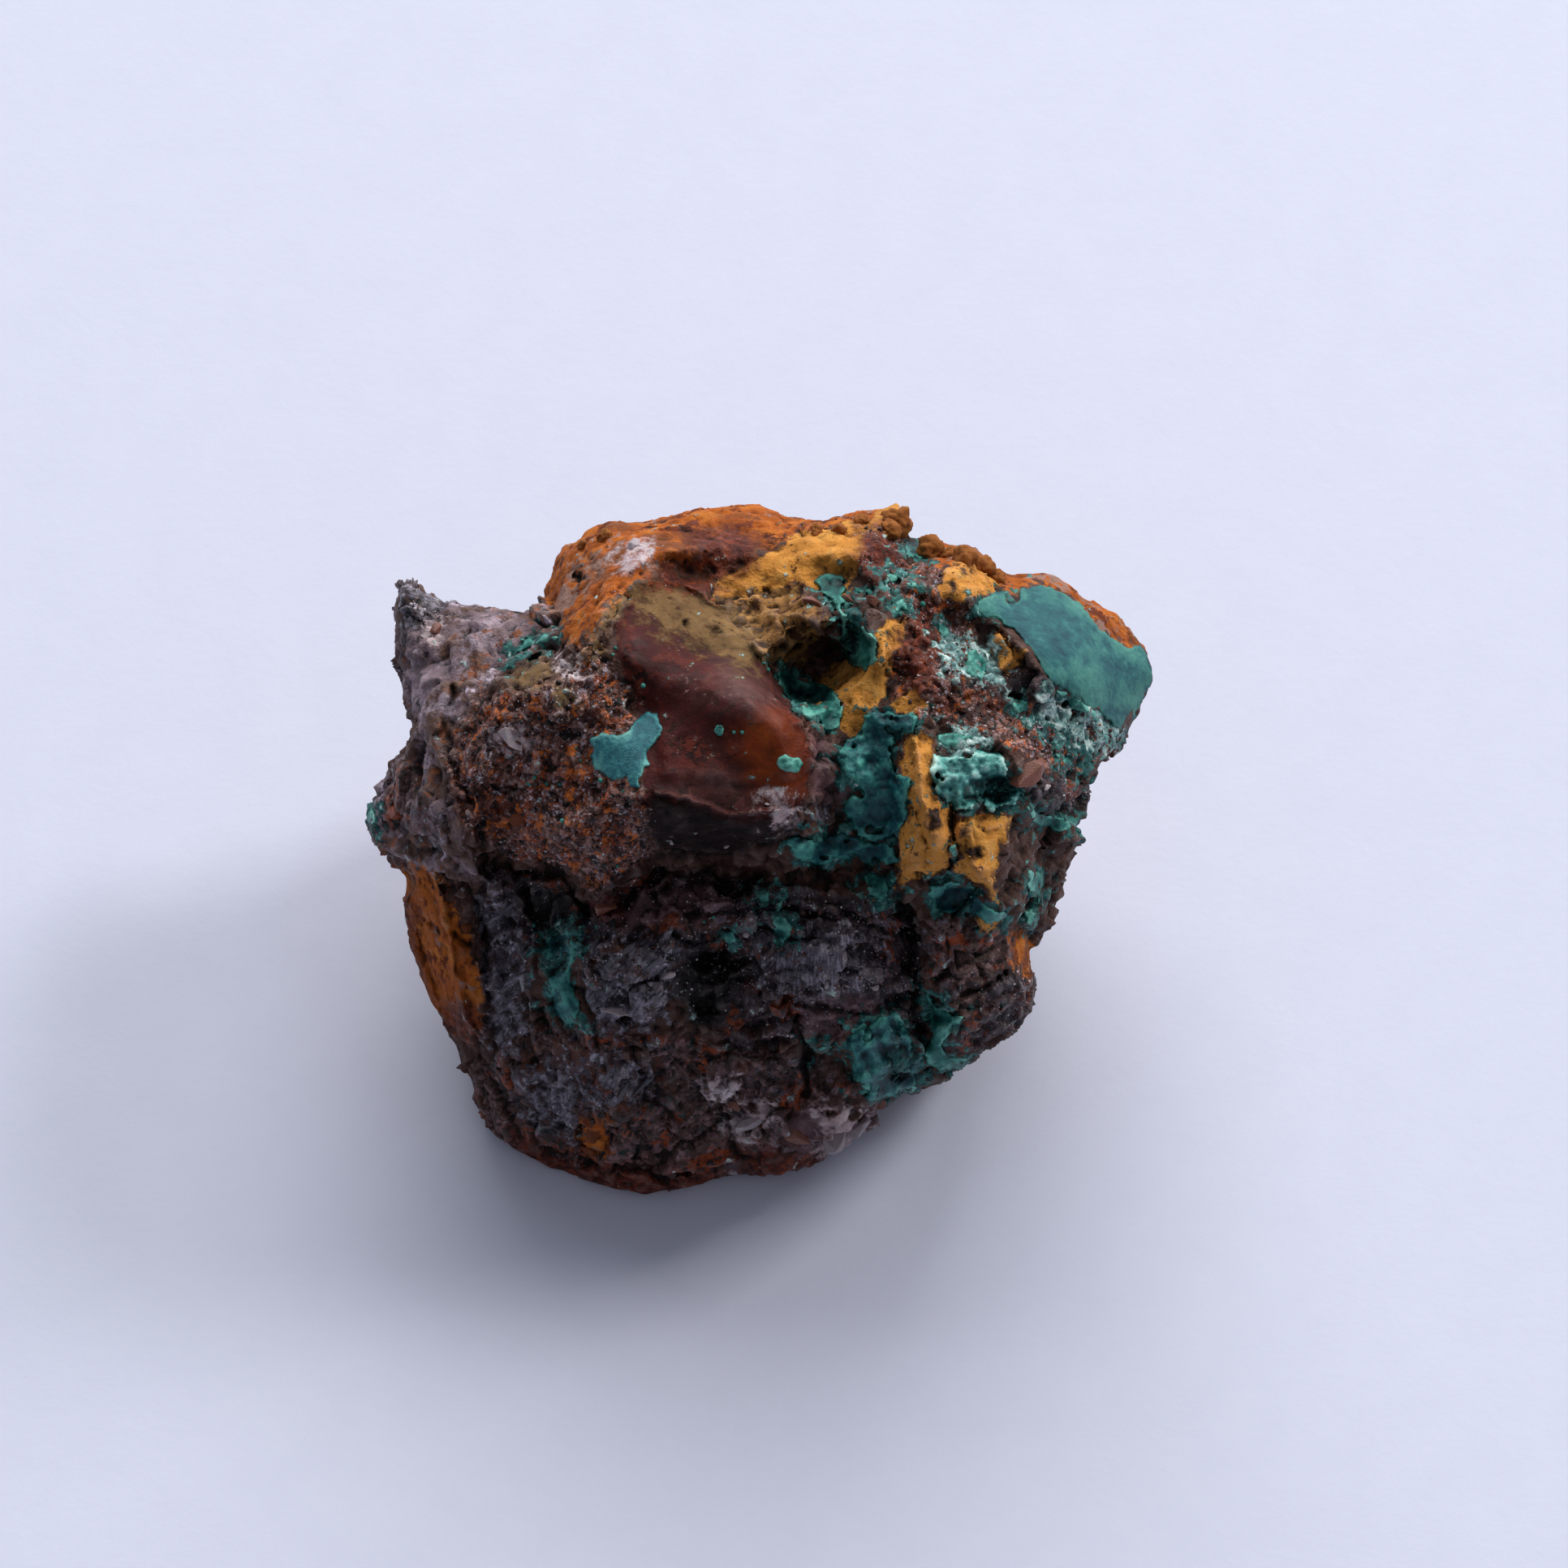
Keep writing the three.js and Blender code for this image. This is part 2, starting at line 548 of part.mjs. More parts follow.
// Small chips, which each take a little off what sticks out furthest their way.
function chipsOff(fractured) {
  const arms = rim.flatMap((_, i) => CHIP_TESTS.map((reach) => {
    const arm = hiddenArm(...placeInside(i / rim.length, reach), reach);
    return arm.multiplyScalar(shareLeft(arm, fractured));
  }));
  const chips = [];
  for (let i = 0; i < CHIPS; i++) {
    const normal = facingWay(i * Math.PI * (3 - Math.sqrt(5)), 1 - (2 * i + 1) / CHIPS);
    const furthest = Math.max(...arms.map((arm) => arm.dot(normal)));
    const distance = furthest - THREE.MathUtils.lerp(...CHIP_DEPTH, scatter(i, 0, 0, 10));
    if (distance > CHIP_REACH) chips.push({ normal, distance });
  }
  return chips;
}

const breaks = [...fractures, ...chipsOff(fractures)];

function hiddenPoint(u, v, rimW, inset, reach) {
  const arm = hiddenArm(u, v, rimW, inset, reach);
  const depth = hiddenDepth(inset);
  const broken = THREE.MathUtils.clamp(depth / CHIPS_START, 0, 1);
  arm.multiplyScalar(THREE.MathUtils.lerp(1, shareLeft(arm, breaks), broken));
  arm.setLength(arm.length() + roughness([...arm]) * THREE.MathUtils.clamp(depth / BREAKS_START, 0, 1));
  return arm.add(CORE_POINT);
}

// A point of the stone's surface from a point of an octahedron, whose widest line becomes the stone's and
// whose +z half becomes the display side. lift raises the display side.
function surfacePoint({ x, y, z }, lift) {
  const level = Math.abs(x) + Math.abs(y);
  const share = level / (level + Math.abs(z));
  const quarter = level > 0 ? Math.abs(y) / level : 0;
  const half = x < 0 ? 2 - quarter : quarter;
  const turn = ((y < 0 ? 4 - half : half) / 4) % 1;
  const reach = THREE.MathUtils.lerp(share, Math.sin((share * Math.PI) / 2), RINGS_TO_EDGE);
  const place = placeInside(turn, reach);
  return z > 0 ? displayPoint(...place, lift) : hiddenPoint(...place, reach);
}

// Only places are kept, so that neighbouring faces share their corners.
function closedGeometry(geometry) {
  geometry.deleteAttribute("normal");
  geometry.deleteAttribute("uv");
  return mergeVertices(geometry, WELD);
}

function stoneGeometry(lift) {
  const geometry = closedGeometry(new THREE.OctahedronGeometry(1, RIM_POINTS / 4 - 1));
  geometry.rotateX(Math.PI / 2);
  const position = geometry.getAttribute("position");
  for (let i = 0; i < position.count; i++) {
    const place = new THREE.Vector3().fromBufferAttribute(position, i);
    ["x", "y", "z"].forEach((axis) => {
      if (Math.abs(place[axis]) < WELD) place[axis] = 0;
    });
    position.setXYZ(i, ...surfacePoint(place, lift));
  }
  return geometry;
}

const wasm = await Module();
wasm.setup();

function solidOf(geometry) {
  return new wasm.Manifold(new wasm.Mesh({
    numProp: 3,
    vertProperties: new Float32Array(geometry.getAttribute("position").array),
    triVerts: new Uint32Array(geometry.index.array),
  }));
}

function geometryOf(solid) {
  const { vertProperties, triVerts } = solid.getMesh();
  const geometry = new THREE.BufferGeometry();
  geometry.setAttribute("position", new THREE.BufferAttribute(vertProperties, 3));
  geometry.setIndex(new THREE.BufferAttribute(triVerts, 1));
  return geometry;
}

// The rock dips under each crust, so that the crust's edge is let in.
function rockLift(u, v) {
  const deepest = Math.max(...crusts.map(({ edge }) => insideDistance(edge, u, v)));
  return -CRUST_BED * THREE.MathUtils.smoothstep(deepest, -CRUST_DIP, 0);
}

const nodules = (u, v) => NODULE_RISE * lumps([u, v, 0], NODULE_SIZE, 11);

const ground = new THREE.BoxGeometry(3 * STONE_WIDTH, 3 * STONE_WIDTH, STONE_WIDTH);
ground.translate(0, 0, -STONE_WIDTH / 2);
const rock = solidOf(stoneGeometry(rockLift)).subtract(solidOf(closedGeometry(ground)));
const crustFloor = solidOf(stoneGeometry((u, v) => rockLift(u, v) + CRUST_GAP));
const crustTop = solidOf(stoneGeometry((u, v) => CRUST_STAND + nodules(u, v)));

// A straight-sided block over a crust's outline, through the display side only.
function blockOver(edge) {
  const heights = edge.map(([u, v]) => relief(u, v));
  const low = Math.min(...heights) - BLOCK_MARGIN;
  const depth = Math.max(...heights) + 2 * BLOCK_MARGIN - low;
  const shape = new THREE.Shape(edge.map(([u, v]) => new THREE.Vector2(u, v)));
  const geometry = closedGeometry(new THREE.ExtrudeGeometry(shape, { depth, bevelEnabled: false }));
  geometry.translate(0, 0, low);
  return solidOf(geometry.applyMatrix4(new THREE.Matrix4().makeBasis(SHEET_RIGHT, SHEET_UP, SHEET_OUT)));
}

const gossan = () => new THREE.MeshStandardMaterial({ color: GOSSAN_COLOUR, roughness: 0.8 });
const pseudomalachite = () => new THREE.MeshStandardMaterial({ color: CRUST_COLOUR, roughness: 0.45 });

const specimen = new THREE.Group();

function addNode(name, solid, material) {
  const mesh = new THREE.Mesh(geometryOf(solid), material);
  mesh.name = name;
  specimen.add(mesh);
}

addNode("matrix", rock, gossan());
for (const { name, edge } of crusts)
  addNode(name, crustTop.intersect(blockOver(edge)).subtract(crustFloor), pseudomalachite());

const middle = new THREE.Box3().setFromObject(specimen).getCenter(new THREE.Vector3());
specimen.position.set(-middle.x, -middle.y, 0);

export default specimen;
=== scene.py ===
"""A pseudomalachite specimen: iron-stained rock with blue-green crusts, ochre, jasper and a cave.

Blender works in metres. Shapes here are worked out in millimetres, in the part's own frame.
The display side is laid out on a sheet that faces it, in squares of 0.04 mm, x to the right and y down.
Heights are millimetres out of the sheet.
"""

import math

import bmesh
import bpy
import numpy as np
from mathutils import Matrix, Vector
from mathutils.bvhtree import BVHTree


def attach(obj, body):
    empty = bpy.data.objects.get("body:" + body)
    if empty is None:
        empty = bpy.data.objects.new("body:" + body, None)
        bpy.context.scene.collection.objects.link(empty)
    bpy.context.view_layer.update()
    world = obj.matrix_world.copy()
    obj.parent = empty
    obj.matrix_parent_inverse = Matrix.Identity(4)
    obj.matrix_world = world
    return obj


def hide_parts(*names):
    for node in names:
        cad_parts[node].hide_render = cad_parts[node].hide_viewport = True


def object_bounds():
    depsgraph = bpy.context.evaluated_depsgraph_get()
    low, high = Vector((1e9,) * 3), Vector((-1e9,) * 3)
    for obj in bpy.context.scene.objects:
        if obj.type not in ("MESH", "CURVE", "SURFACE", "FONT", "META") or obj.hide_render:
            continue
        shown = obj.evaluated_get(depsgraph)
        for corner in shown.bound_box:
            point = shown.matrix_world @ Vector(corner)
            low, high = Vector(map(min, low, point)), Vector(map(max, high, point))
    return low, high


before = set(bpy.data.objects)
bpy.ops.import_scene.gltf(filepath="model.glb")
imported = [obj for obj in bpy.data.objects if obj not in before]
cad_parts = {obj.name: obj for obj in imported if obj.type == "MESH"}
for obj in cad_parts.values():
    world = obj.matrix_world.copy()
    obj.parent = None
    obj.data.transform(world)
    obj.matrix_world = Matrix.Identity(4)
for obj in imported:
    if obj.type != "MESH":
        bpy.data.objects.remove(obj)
CAD_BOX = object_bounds()

# Driving dimensions

MM = 0.001
SQUARE = 0.04  # mm
SHEET_LEAN = math.radians(60)
OVER_ORIGIN = (940, 1175)  # the square over the sheet's origin
SHEET_ORIGIN = np.array([0.04286, -0.77347, 0])  # mm, in the part's frame
SHEET_RIGHT = np.array([1.0, 0, 0])
SHEET_UP = np.array([0, math.sin(SHEET_LEAN), math.cos(SHEET_LEAN)])
SHEET_OUT = np.array([0, -math.cos(SHEET_LEAN), math.sin(SHEET_LEAN)])

ROCK_VOXEL = 0.3  # mm
ROCK_SMOOTHING = 3
CALM_SMOOTHING = 160  # for the smooth minerals, which show none of the rock's breaks
DISPLAY_SMOOTHING = 60  # for the edge of the display side
HOLLOW_SMOOTHING = 12  # for the surface that hollows and edges are measured from, which get painted shade and painted highlight
HOLLOW_UNIT = 0.12  # mm under that surface that count as 1
ROCK_TRIANGLES = 196000
ROCK_LOWERING = 0.12  # mm, which makes up for what the relief adds
WARP = 7  # squares, by which the zones' edges wander
THIN_COVER = 4.0  # mm of rock over a point that still counts as the display side
CLEAR_HEIGHT = 60.0  # mm out of the sheet, clear of the whole rock
ZONE_BLEND = 2.0  # mm, over which a zone's mask runs from none to full
STAIN_REACH = 0.15  # mm of green stain round every lumpy crust
CRUST_STEP = 0.075  # mm between a crust's points
CRUST_MARGIN = 4  # squares round its outline
CRUST_ROOT = 0.45  # mm of a crust under the rock's surface
CRUST_BRIDGING = 10  # how often the rock's heights are evened out under a lumpy crust
OPEN_EVENING = 220  # the same, for the heights that the rock's are compared with, to paint shade on a crust where the rock lies low
EDGE_RISE = 0.12  # mm over which a crust rises from its edge
CRUMBLY_RELIEF = 0.1  # mm of relief above which a crust's edge crumbles
RIM_SHARE = 0.3  # how much higher than its stand a crust's rim is
RIM_INSET = 0.14  # mm from the crust's edge to its rim
RIM_WIDTH = 0.09  # mm
HIDDEN_EDGE = 0.16  # mm that a crust's edge lies under the rock's surface
HOLLOW_DEPTH = 0.5  # mm that a crust sinks in its hollow
HOLLOW_SLOPE = 0.5  # mm over which it does so
HOLLOW_SHADE = 0.6  # how much darker its tone is there, as painted shade
BASE_FADE = 0.9  # mm above the resting face over which the rock gets its roughness

CRUST_SEED = 500
SMALL_CRUST_SEED = 700
GRAIN_ROUGHNESS = 0.05  # mm

VIEW_WIDTH = 77.28 * MM
VIEW_CENTRE = (966, 966)
VIEW_HEIGHT = 12.0  # mm out of the sheet, of the place that the camera looks at
LIT_HEIGHT = 0.012  # m above the floor, of the place that the lights face
CAMERA_DISTANCE = 1.0
SENSOR = 36.0

# Zones of the display side: for each, the outlines of its patches in squares.

ZONES = {
    "lilac": [
        [(476, 708), (522, 722), (596, 741), (680, 742), (690, 790), (620, 822), (600, 850), (565, 900),
         (552, 960), (570, 1040), (604, 1085), (560, 1080), (455, 1055), (436, 1010), (455, 960),
         (505, 930), (515, 890), (490, 850), (460, 780)],
    ],
    "granular": [
        [(566, 905), (600, 850), (650, 850), (700, 830), (718, 800), (742, 785), (756, 815), (784, 852),
         (784, 900), (792, 960), (815, 1012), (800, 1050), (735, 1108), (700, 1068), (650, 1060),
         (600, 1040), (562, 1000), (556, 940)],
        [(1088, 690), (1150, 690), (1200, 760), (1215, 840), (1250, 860), (1330, 860), (1400, 905),
         (1330, 960), (1250, 930), (1200, 905), (1130, 892), (1100, 855), (1095, 812), (1120, 790),
         (1120, 765), (1085, 742)],
        [(1058, 650), (1108, 640), (1122, 700), (1085, 722), (1046, 702)],
    ],
    "brown": [
        [(468, 962), (490, 942), (515, 942), (526, 966), (520, 1012), (500, 1030), (478, 1024),
         (466, 1000)],
        [(1140, 1130), (1200, 1128), (1250, 1150), (1262, 1210), (1230, 1290), (1180, 1240), (1140, 1200)],
        [(600, 1290), (690, 1260), (800, 1270), (880, 1290), (1000, 1300), (1060, 1340), (1000, 1430),
         (960, 1470), (780, 1500), (640, 1470), (560, 1370)],
        [(790, 1100), (830, 1120), (900, 1130), (880, 1160), (820, 1165), (770, 1140)],
    ],
    "dark": [
        [(604, 1060), (700, 1085), (722, 1110), (750, 1100), (800, 1066), (960, 1092), (1104, 1106),
         (1140, 1150), (1132, 1290), (1104, 1246), (1060, 1262), (1000, 1272), (930, 1290), (880, 1270),
         (836, 1230), (828, 1180), (720, 1166), (650, 1166), (600, 1116)],
        [(1198, 1206), (1240, 1196), (1290, 1200), (1290, 1260), (1230, 1296), (1150, 1296), (1180, 1260),
         (1210, 1240)],
        [(1262, 960), (1330, 950), (1350, 985), (1320, 1010), (1270, 1000)],
        [(1218, 832), (1256, 820), (1290, 840), (1300, 862), (1240, 866), (1205, 850)],
    ],
    "grey": [
        [(735, 1150), (800, 1142), (850, 1176), (832, 1222), (800, 1272), (742, 1268), (716, 1230),
         (720, 1180)],
        [(736, 1300), (800, 1322), (812, 1340), (780, 1366), (740, 1352)],
        [(592, 1096), (640, 1120), (660, 1180), (650, 1240), (636, 1300), (604, 1296), (592, 1200)],
        [(905, 1142), (960, 1130), (1060, 1150), (1086, 1186), (1070, 1216), (1000, 1224), (930, 1198)],
        [(640, 1320), (700, 1312), (730, 1350), (700, 1400), (650, 1380)],
        [(745, 690), (800, 668), (812, 690), (795, 712), (760, 735), (744, 715)],
        [(484, 712), (520, 718), (548, 745), (540, 770), (505, 776), (488, 745)],
        [(1000, 990), (1030, 990), (1032, 1016), (1006, 1020)],
    ],
    "jasper": [
        [(800, 712), (835, 715), (880, 735), (925, 785), (950, 828), (962, 850), (985, 885), (1002, 930),
         (990, 985), (975, 1020), (940, 1040), (880, 1052), (815, 1050), (800, 1012), (790, 960),
         (786, 900), (786, 850), (758, 812), (760, 772), (778, 738)],
        [(726, 1106), (756, 1100), (772, 1112), (765, 1132), (742, 1134), (728, 1122)],
    ],
    "haze": [
        [(880, 806), (915, 798), (948, 832), (962, 872), (945, 890), (915, 870), (892, 842)],
        [(835, 962), (880, 950), (935, 958), (955, 975), (905, 985), (850, 980)],
    ],
    "frost": [
        [(1155, 785), (1185, 780), (1232, 800), (1240, 840), (1205, 850), (1165, 830)],
        [(1282, 862), (1340, 866), (1392, 905), (1384, 930), (1330, 910), (1282, 888)],
        [(1150, 905), (1196, 898), (1215, 915), (1200, 928), (1160, 926)],
    ],
    "amber": [
        [(915, 888), (950, 878), (985, 890), (995, 930), (985, 975), (955, 990), (922, 972), (905, 930)],
    ],
    # The jasper's lower facet: its own wine-red colour darkened as painted shade.
    "jasper in painted shade": [
        [(806, 976), (850, 990), (905, 1008), (975, 1002), (985, 1022), (940, 1042), (880, 1056),
         (815, 1056), (796, 1010)],
    ],
    "mauve": [
        [(988, 1242), (1045, 1228), (1088, 1236), (1080, 1268), (1025, 1284), (990, 1266)],
        [(1050, 905), (1082, 912), (1090, 950), (1072, 985), (1050, 960)],
        [(996, 900), (1026, 912), (1036, 950), (1058, 982), (1040, 992), (1010, 986), (994, 950)],
        [(962, 1366), (1012, 1364), (1012, 1424), (968, 1412)],
        [(1066, 1350), (1130, 1328), (1122, 1372), (1072, 1412), (1056, 1400)],
        [(736, 1120), (790, 1098), (850, 1082), (905, 1090), (900, 1118), (830, 1132), (770, 1146)],
    ],
    # Painted shade: near-black patches over the sunk recesses.
    "painted recess shade": [
        [(832, 1180), (870, 1164), (925, 1174), (936, 1200), (908, 1216), (892, 1252), (860, 1264),
         (838, 1238)],
        [(640, 1092), (700, 1090), (716, 1120), (704, 1152), (660, 1154), (636, 1118)],
        [(985, 1290), (1000, 1292), (1004, 1322), (990, 1330)],
    ],
    "olive": [
        [(712, 826), (720, 795), (733, 765), (755, 740), (775, 720), (800, 706), (814, 712), (795, 730),
         (776, 744), (760, 765), (748, 790), (733, 815)],
        [(784, 716), (812, 694), (840, 700), (876, 714), (908, 740), (936, 776), (954, 816), (915, 822),
         (880, 806), (845, 792), (812, 772), (784, 756)],
        [(635, 832), (655, 812), (678, 815), (682, 830), (660, 845), (640, 852)],
        [(684, 842), (696, 846), (702, 872), (694, 876)],
    ],
    "orange": [
        [(660, 690), (690, 640), (750, 615), (850, 595), (930, 590), (1000, 600), (985, 655), (930, 690),
         (885, 717), (870, 737), (840, 715), (812, 704), (775, 725), (740, 765), (715, 802), (688, 792),
         (690, 760), (674, 735)],
        [(985, 655), (1000, 600), (1090, 590), (1098, 620), (1074, 640)],
        [(1130, 676), (1150, 640), (1200, 640), (1232, 690), (1222, 702), (1190, 700), (1150, 697)],
        [(1222, 700), (1240, 680), (1300, 680), (1420, 750), (1450, 808), (1398, 800), (1370, 788),
         (1352, 768), (1320, 738), (1280, 716), (1240, 738)],
        [(464, 1120), (490, 1072), (520, 1066), (544, 1090), (562, 1130), (574, 1150), (588, 1180),
         (594, 1220), (594, 1262), (575, 1280), (550, 1262), (520, 1250), (494, 1200), (484, 1150)],
        [(1246, 1150), (1262, 1138), (1274, 1160), (1280, 1196), (1262, 1207), (1250, 1182)],
        [(716, 1376), (748, 1376), (750, 1420), (725, 1430), (712, 1400)],
    ],
    "ochre": [
        [(1117, 904), (1130, 900), (1148, 914), (1152, 946), (1145, 971), (1152, 986), (1172, 995),
         (1168, 1043), (1167, 1066), (1151, 1078), (1133, 1080), (1108, 1092), (1102, 1057), (1106, 1020),
         (1120, 1003), (1116, 975), (1111, 946)],
        [(1176, 1010), (1205, 1004), (1246, 1002), (1240, 1029), (1230, 1045), (1229, 1064), (1220, 1079),
         (1227, 1118), (1214, 1107), (1204, 1093), (1187, 1079), (1171, 1065), (1180, 1054), (1172, 1032)],
        [(1000, 840), (1040, 812), (1075, 815), (1080, 780), (1095, 764), (1118, 764), (1118, 790),
         (1096, 810), (1092, 850), (1076, 877), (1040, 867), (1016, 852)],
        [(1100, 862), (1125, 850), (1140, 872), (1125, 882), (1104, 880)],
        [(930, 692), (985, 655), (1074, 640), (1094, 590), (1130, 590), (1112, 652), (1070, 660),
         (1060, 700), (1040, 737), (985, 717), (930, 740), (880, 737), (885, 716)],
        [(1036, 870), (1050, 866), (1066, 876), (1066, 894), (1050, 907), (1036, 895)],
        [(1218, 792), (1234, 778), (1246, 795), (1260, 806), (1254, 818), (1237, 832), (1226, 817)],
        [(1152, 722), (1163, 700), (1185, 688), (1215, 700), (1236, 712), (1225, 732), (1205, 740),
         (1185, 747), (1163, 737)],
        [(988, 862), (1016, 860), (1016, 873), (992, 874)],
        [(1202, 1130), (1225, 1128), (1230, 1140), (1210, 1146)],
    ],
    "tan": [
        [(896, 740), (936, 734), (980, 717), (1002, 740), (1018, 762), (1000, 770), (1000, 792), (985, 815),
         (972, 821), (948, 800), (924, 765)],
    ],
    "red wall": [
        [(796, 704), (830, 698), (870, 710), (892, 734), (868, 742), (846, 732), (820, 726), (800, 722)],
        [(464, 1110), (484, 1080), (502, 1110), (506, 1160), (520, 1210), (540, 1262), (516, 1256),
         (488, 1204), (472, 1150)],
        [(544, 1240), (580, 1236), (592, 1262), (575, 1284), (552, 1270)],
        [(850, 655), (900, 645), (940, 662), (925, 700), (880, 716), (852, 695)],
        [(1062, 650), (1100, 640), (1118, 700), (1085, 722), (1050, 705)],
        [(1110, 760), (1150, 745), (1165, 790), (1150, 860), (1118, 850), (1105, 800)],
        [(620, 1396), (700, 1430), (800, 1442), (870, 1446), (900, 1456), (880, 1490), (780, 1502),
         (680, 1484), (630, 1440)],
        [(913, 1422), (960, 1416), (1008, 1430), (1000, 1448), (950, 1456), (915, 1452)],
    ],
    "pit": [
        [(1140, 998), (1150, 994), (1157, 1004), (1154, 1016), (1144, 1024), (1137, 1012)],
        [(1180, 1020), (1192, 1018), (1196, 1030), (1186, 1036)],
        [(1176, 1040), (1188, 1034), (1202, 1042), (1208, 1054), (1194, 1058), (1180, 1052)],
        [(1206, 1020), (1214, 1018), (1216, 1028), (1208, 1030)],
        [(1094, 780), (1101, 778), (1102, 787), (1095, 788)],
        [(1168, 718), (1176, 716), (1178, 724), (1170, 726)],
        [(1188, 703), (1195, 702), (1196, 709), (1189, 710)],
        [(706, 702), (718, 700), (722, 714), (712, 720)],
        [(940, 728), (948, 726), (948, 734), (940, 735)],
        [(960, 790), (970, 792), (966, 799), (958, 797)],
        [(838, 764), (845, 762), (846, 769), (839, 770)],
        [(874, 772), (884, 770), (886, 780), (876, 781)],
    ],
    "pale": [
        [(1010, 1370), (1050, 1366), (1072, 1372), (1060, 1408), (1040, 1434), (1014, 1430)],
        [(896, 1374), (950, 1360), (958, 1378), (915, 1402), (900, 1396)],
        [(872, 1334), (904, 1334), (900, 1352), (876, 1352)],
        [(612, 905), (640, 896), (664, 912), (660, 928), (630, 922)],
        # Next, pale quartz dust on the jasper's foot with its sparkle painted in, and a painted highlight
        # near the top edge.
        [(940, 985), (965, 980), (980, 1000), (970, 1028), (948, 1012)],
        [(762, 684), (785, 670), (800, 678), (792, 692), (770, 696)],
        [(690, 808), (706, 806), (716, 838), (700, 834)],
        [(526, 764), (540, 760), (546, 780), (534, 790)],
    ],
    "stain": [
        [(620, 824), (628, 800), (650, 785), (680, 778), (692, 788), (662, 800), (640, 812)],
        [(660, 1180), (700, 1128), (722, 1138), (702, 1180), (716, 1230), (714, 1266), (685, 1256),
         (692, 1220), (668, 1200)],
        [(1288, 850), (1310, 845), (1350, 865), (1400, 905), (1390, 930), (1345, 895), (1300, 880)],
        [(1160, 790), (1185, 782), (1215, 800), (1232, 838), (1205, 845), (1180, 830)],
        [(1255, 870), (1290, 860), (1330, 880), (1360, 925), (1340, 960), (1310, 930), (1270, 900)],
        [(1255, 985), (1300, 1000), (1345, 1000), (1335, 1030), (1290, 1025), (1258, 1010)],
        [(1272, 1072), (1290, 1068), (1286, 1110), (1272, 1150), (1262, 1148), (1264, 1110)],
        [(950, 1108), (970, 1106), (975, 1140), (962, 1166), (952, 1162)],
        [(890, 1148), (912, 1146), (910, 1162), (894, 1162)],
        [(1060, 1076), (1106, 1074), (1106, 1098), (1088, 1116), (1066, 1106)],
        [(1140, 1098), (1162, 1078), (1218, 1114), (1244, 1126), (1240, 1140), (1200, 1128), (1150, 1120)],
        [(1110, 662), (1140, 668), (1150, 684), (1126, 690)],
        [(1086, 706), (1104, 702), (1110, 716), (1090, 720)],
        [(1148, 770), (1170, 768), (1176, 786), (1156, 784)],
        [(448, 996), (462, 992), (466, 1018), (452, 1022)],
        [(990, 1278), (1024, 1284), (1020, 1298), (1000, 1296)],
        [(1190, 740), (1240, 728), (1256, 760), (1225, 768), (1200, 762)],
        [(1150, 905), (1196, 898), (1200, 925), (1160, 925)],
    ],
}

PIT_DEPTH = 0.2  # mm

# Plates that stand proud of the rock or lie sunk in it: outline, rise in mm, and width of the slope in mm.

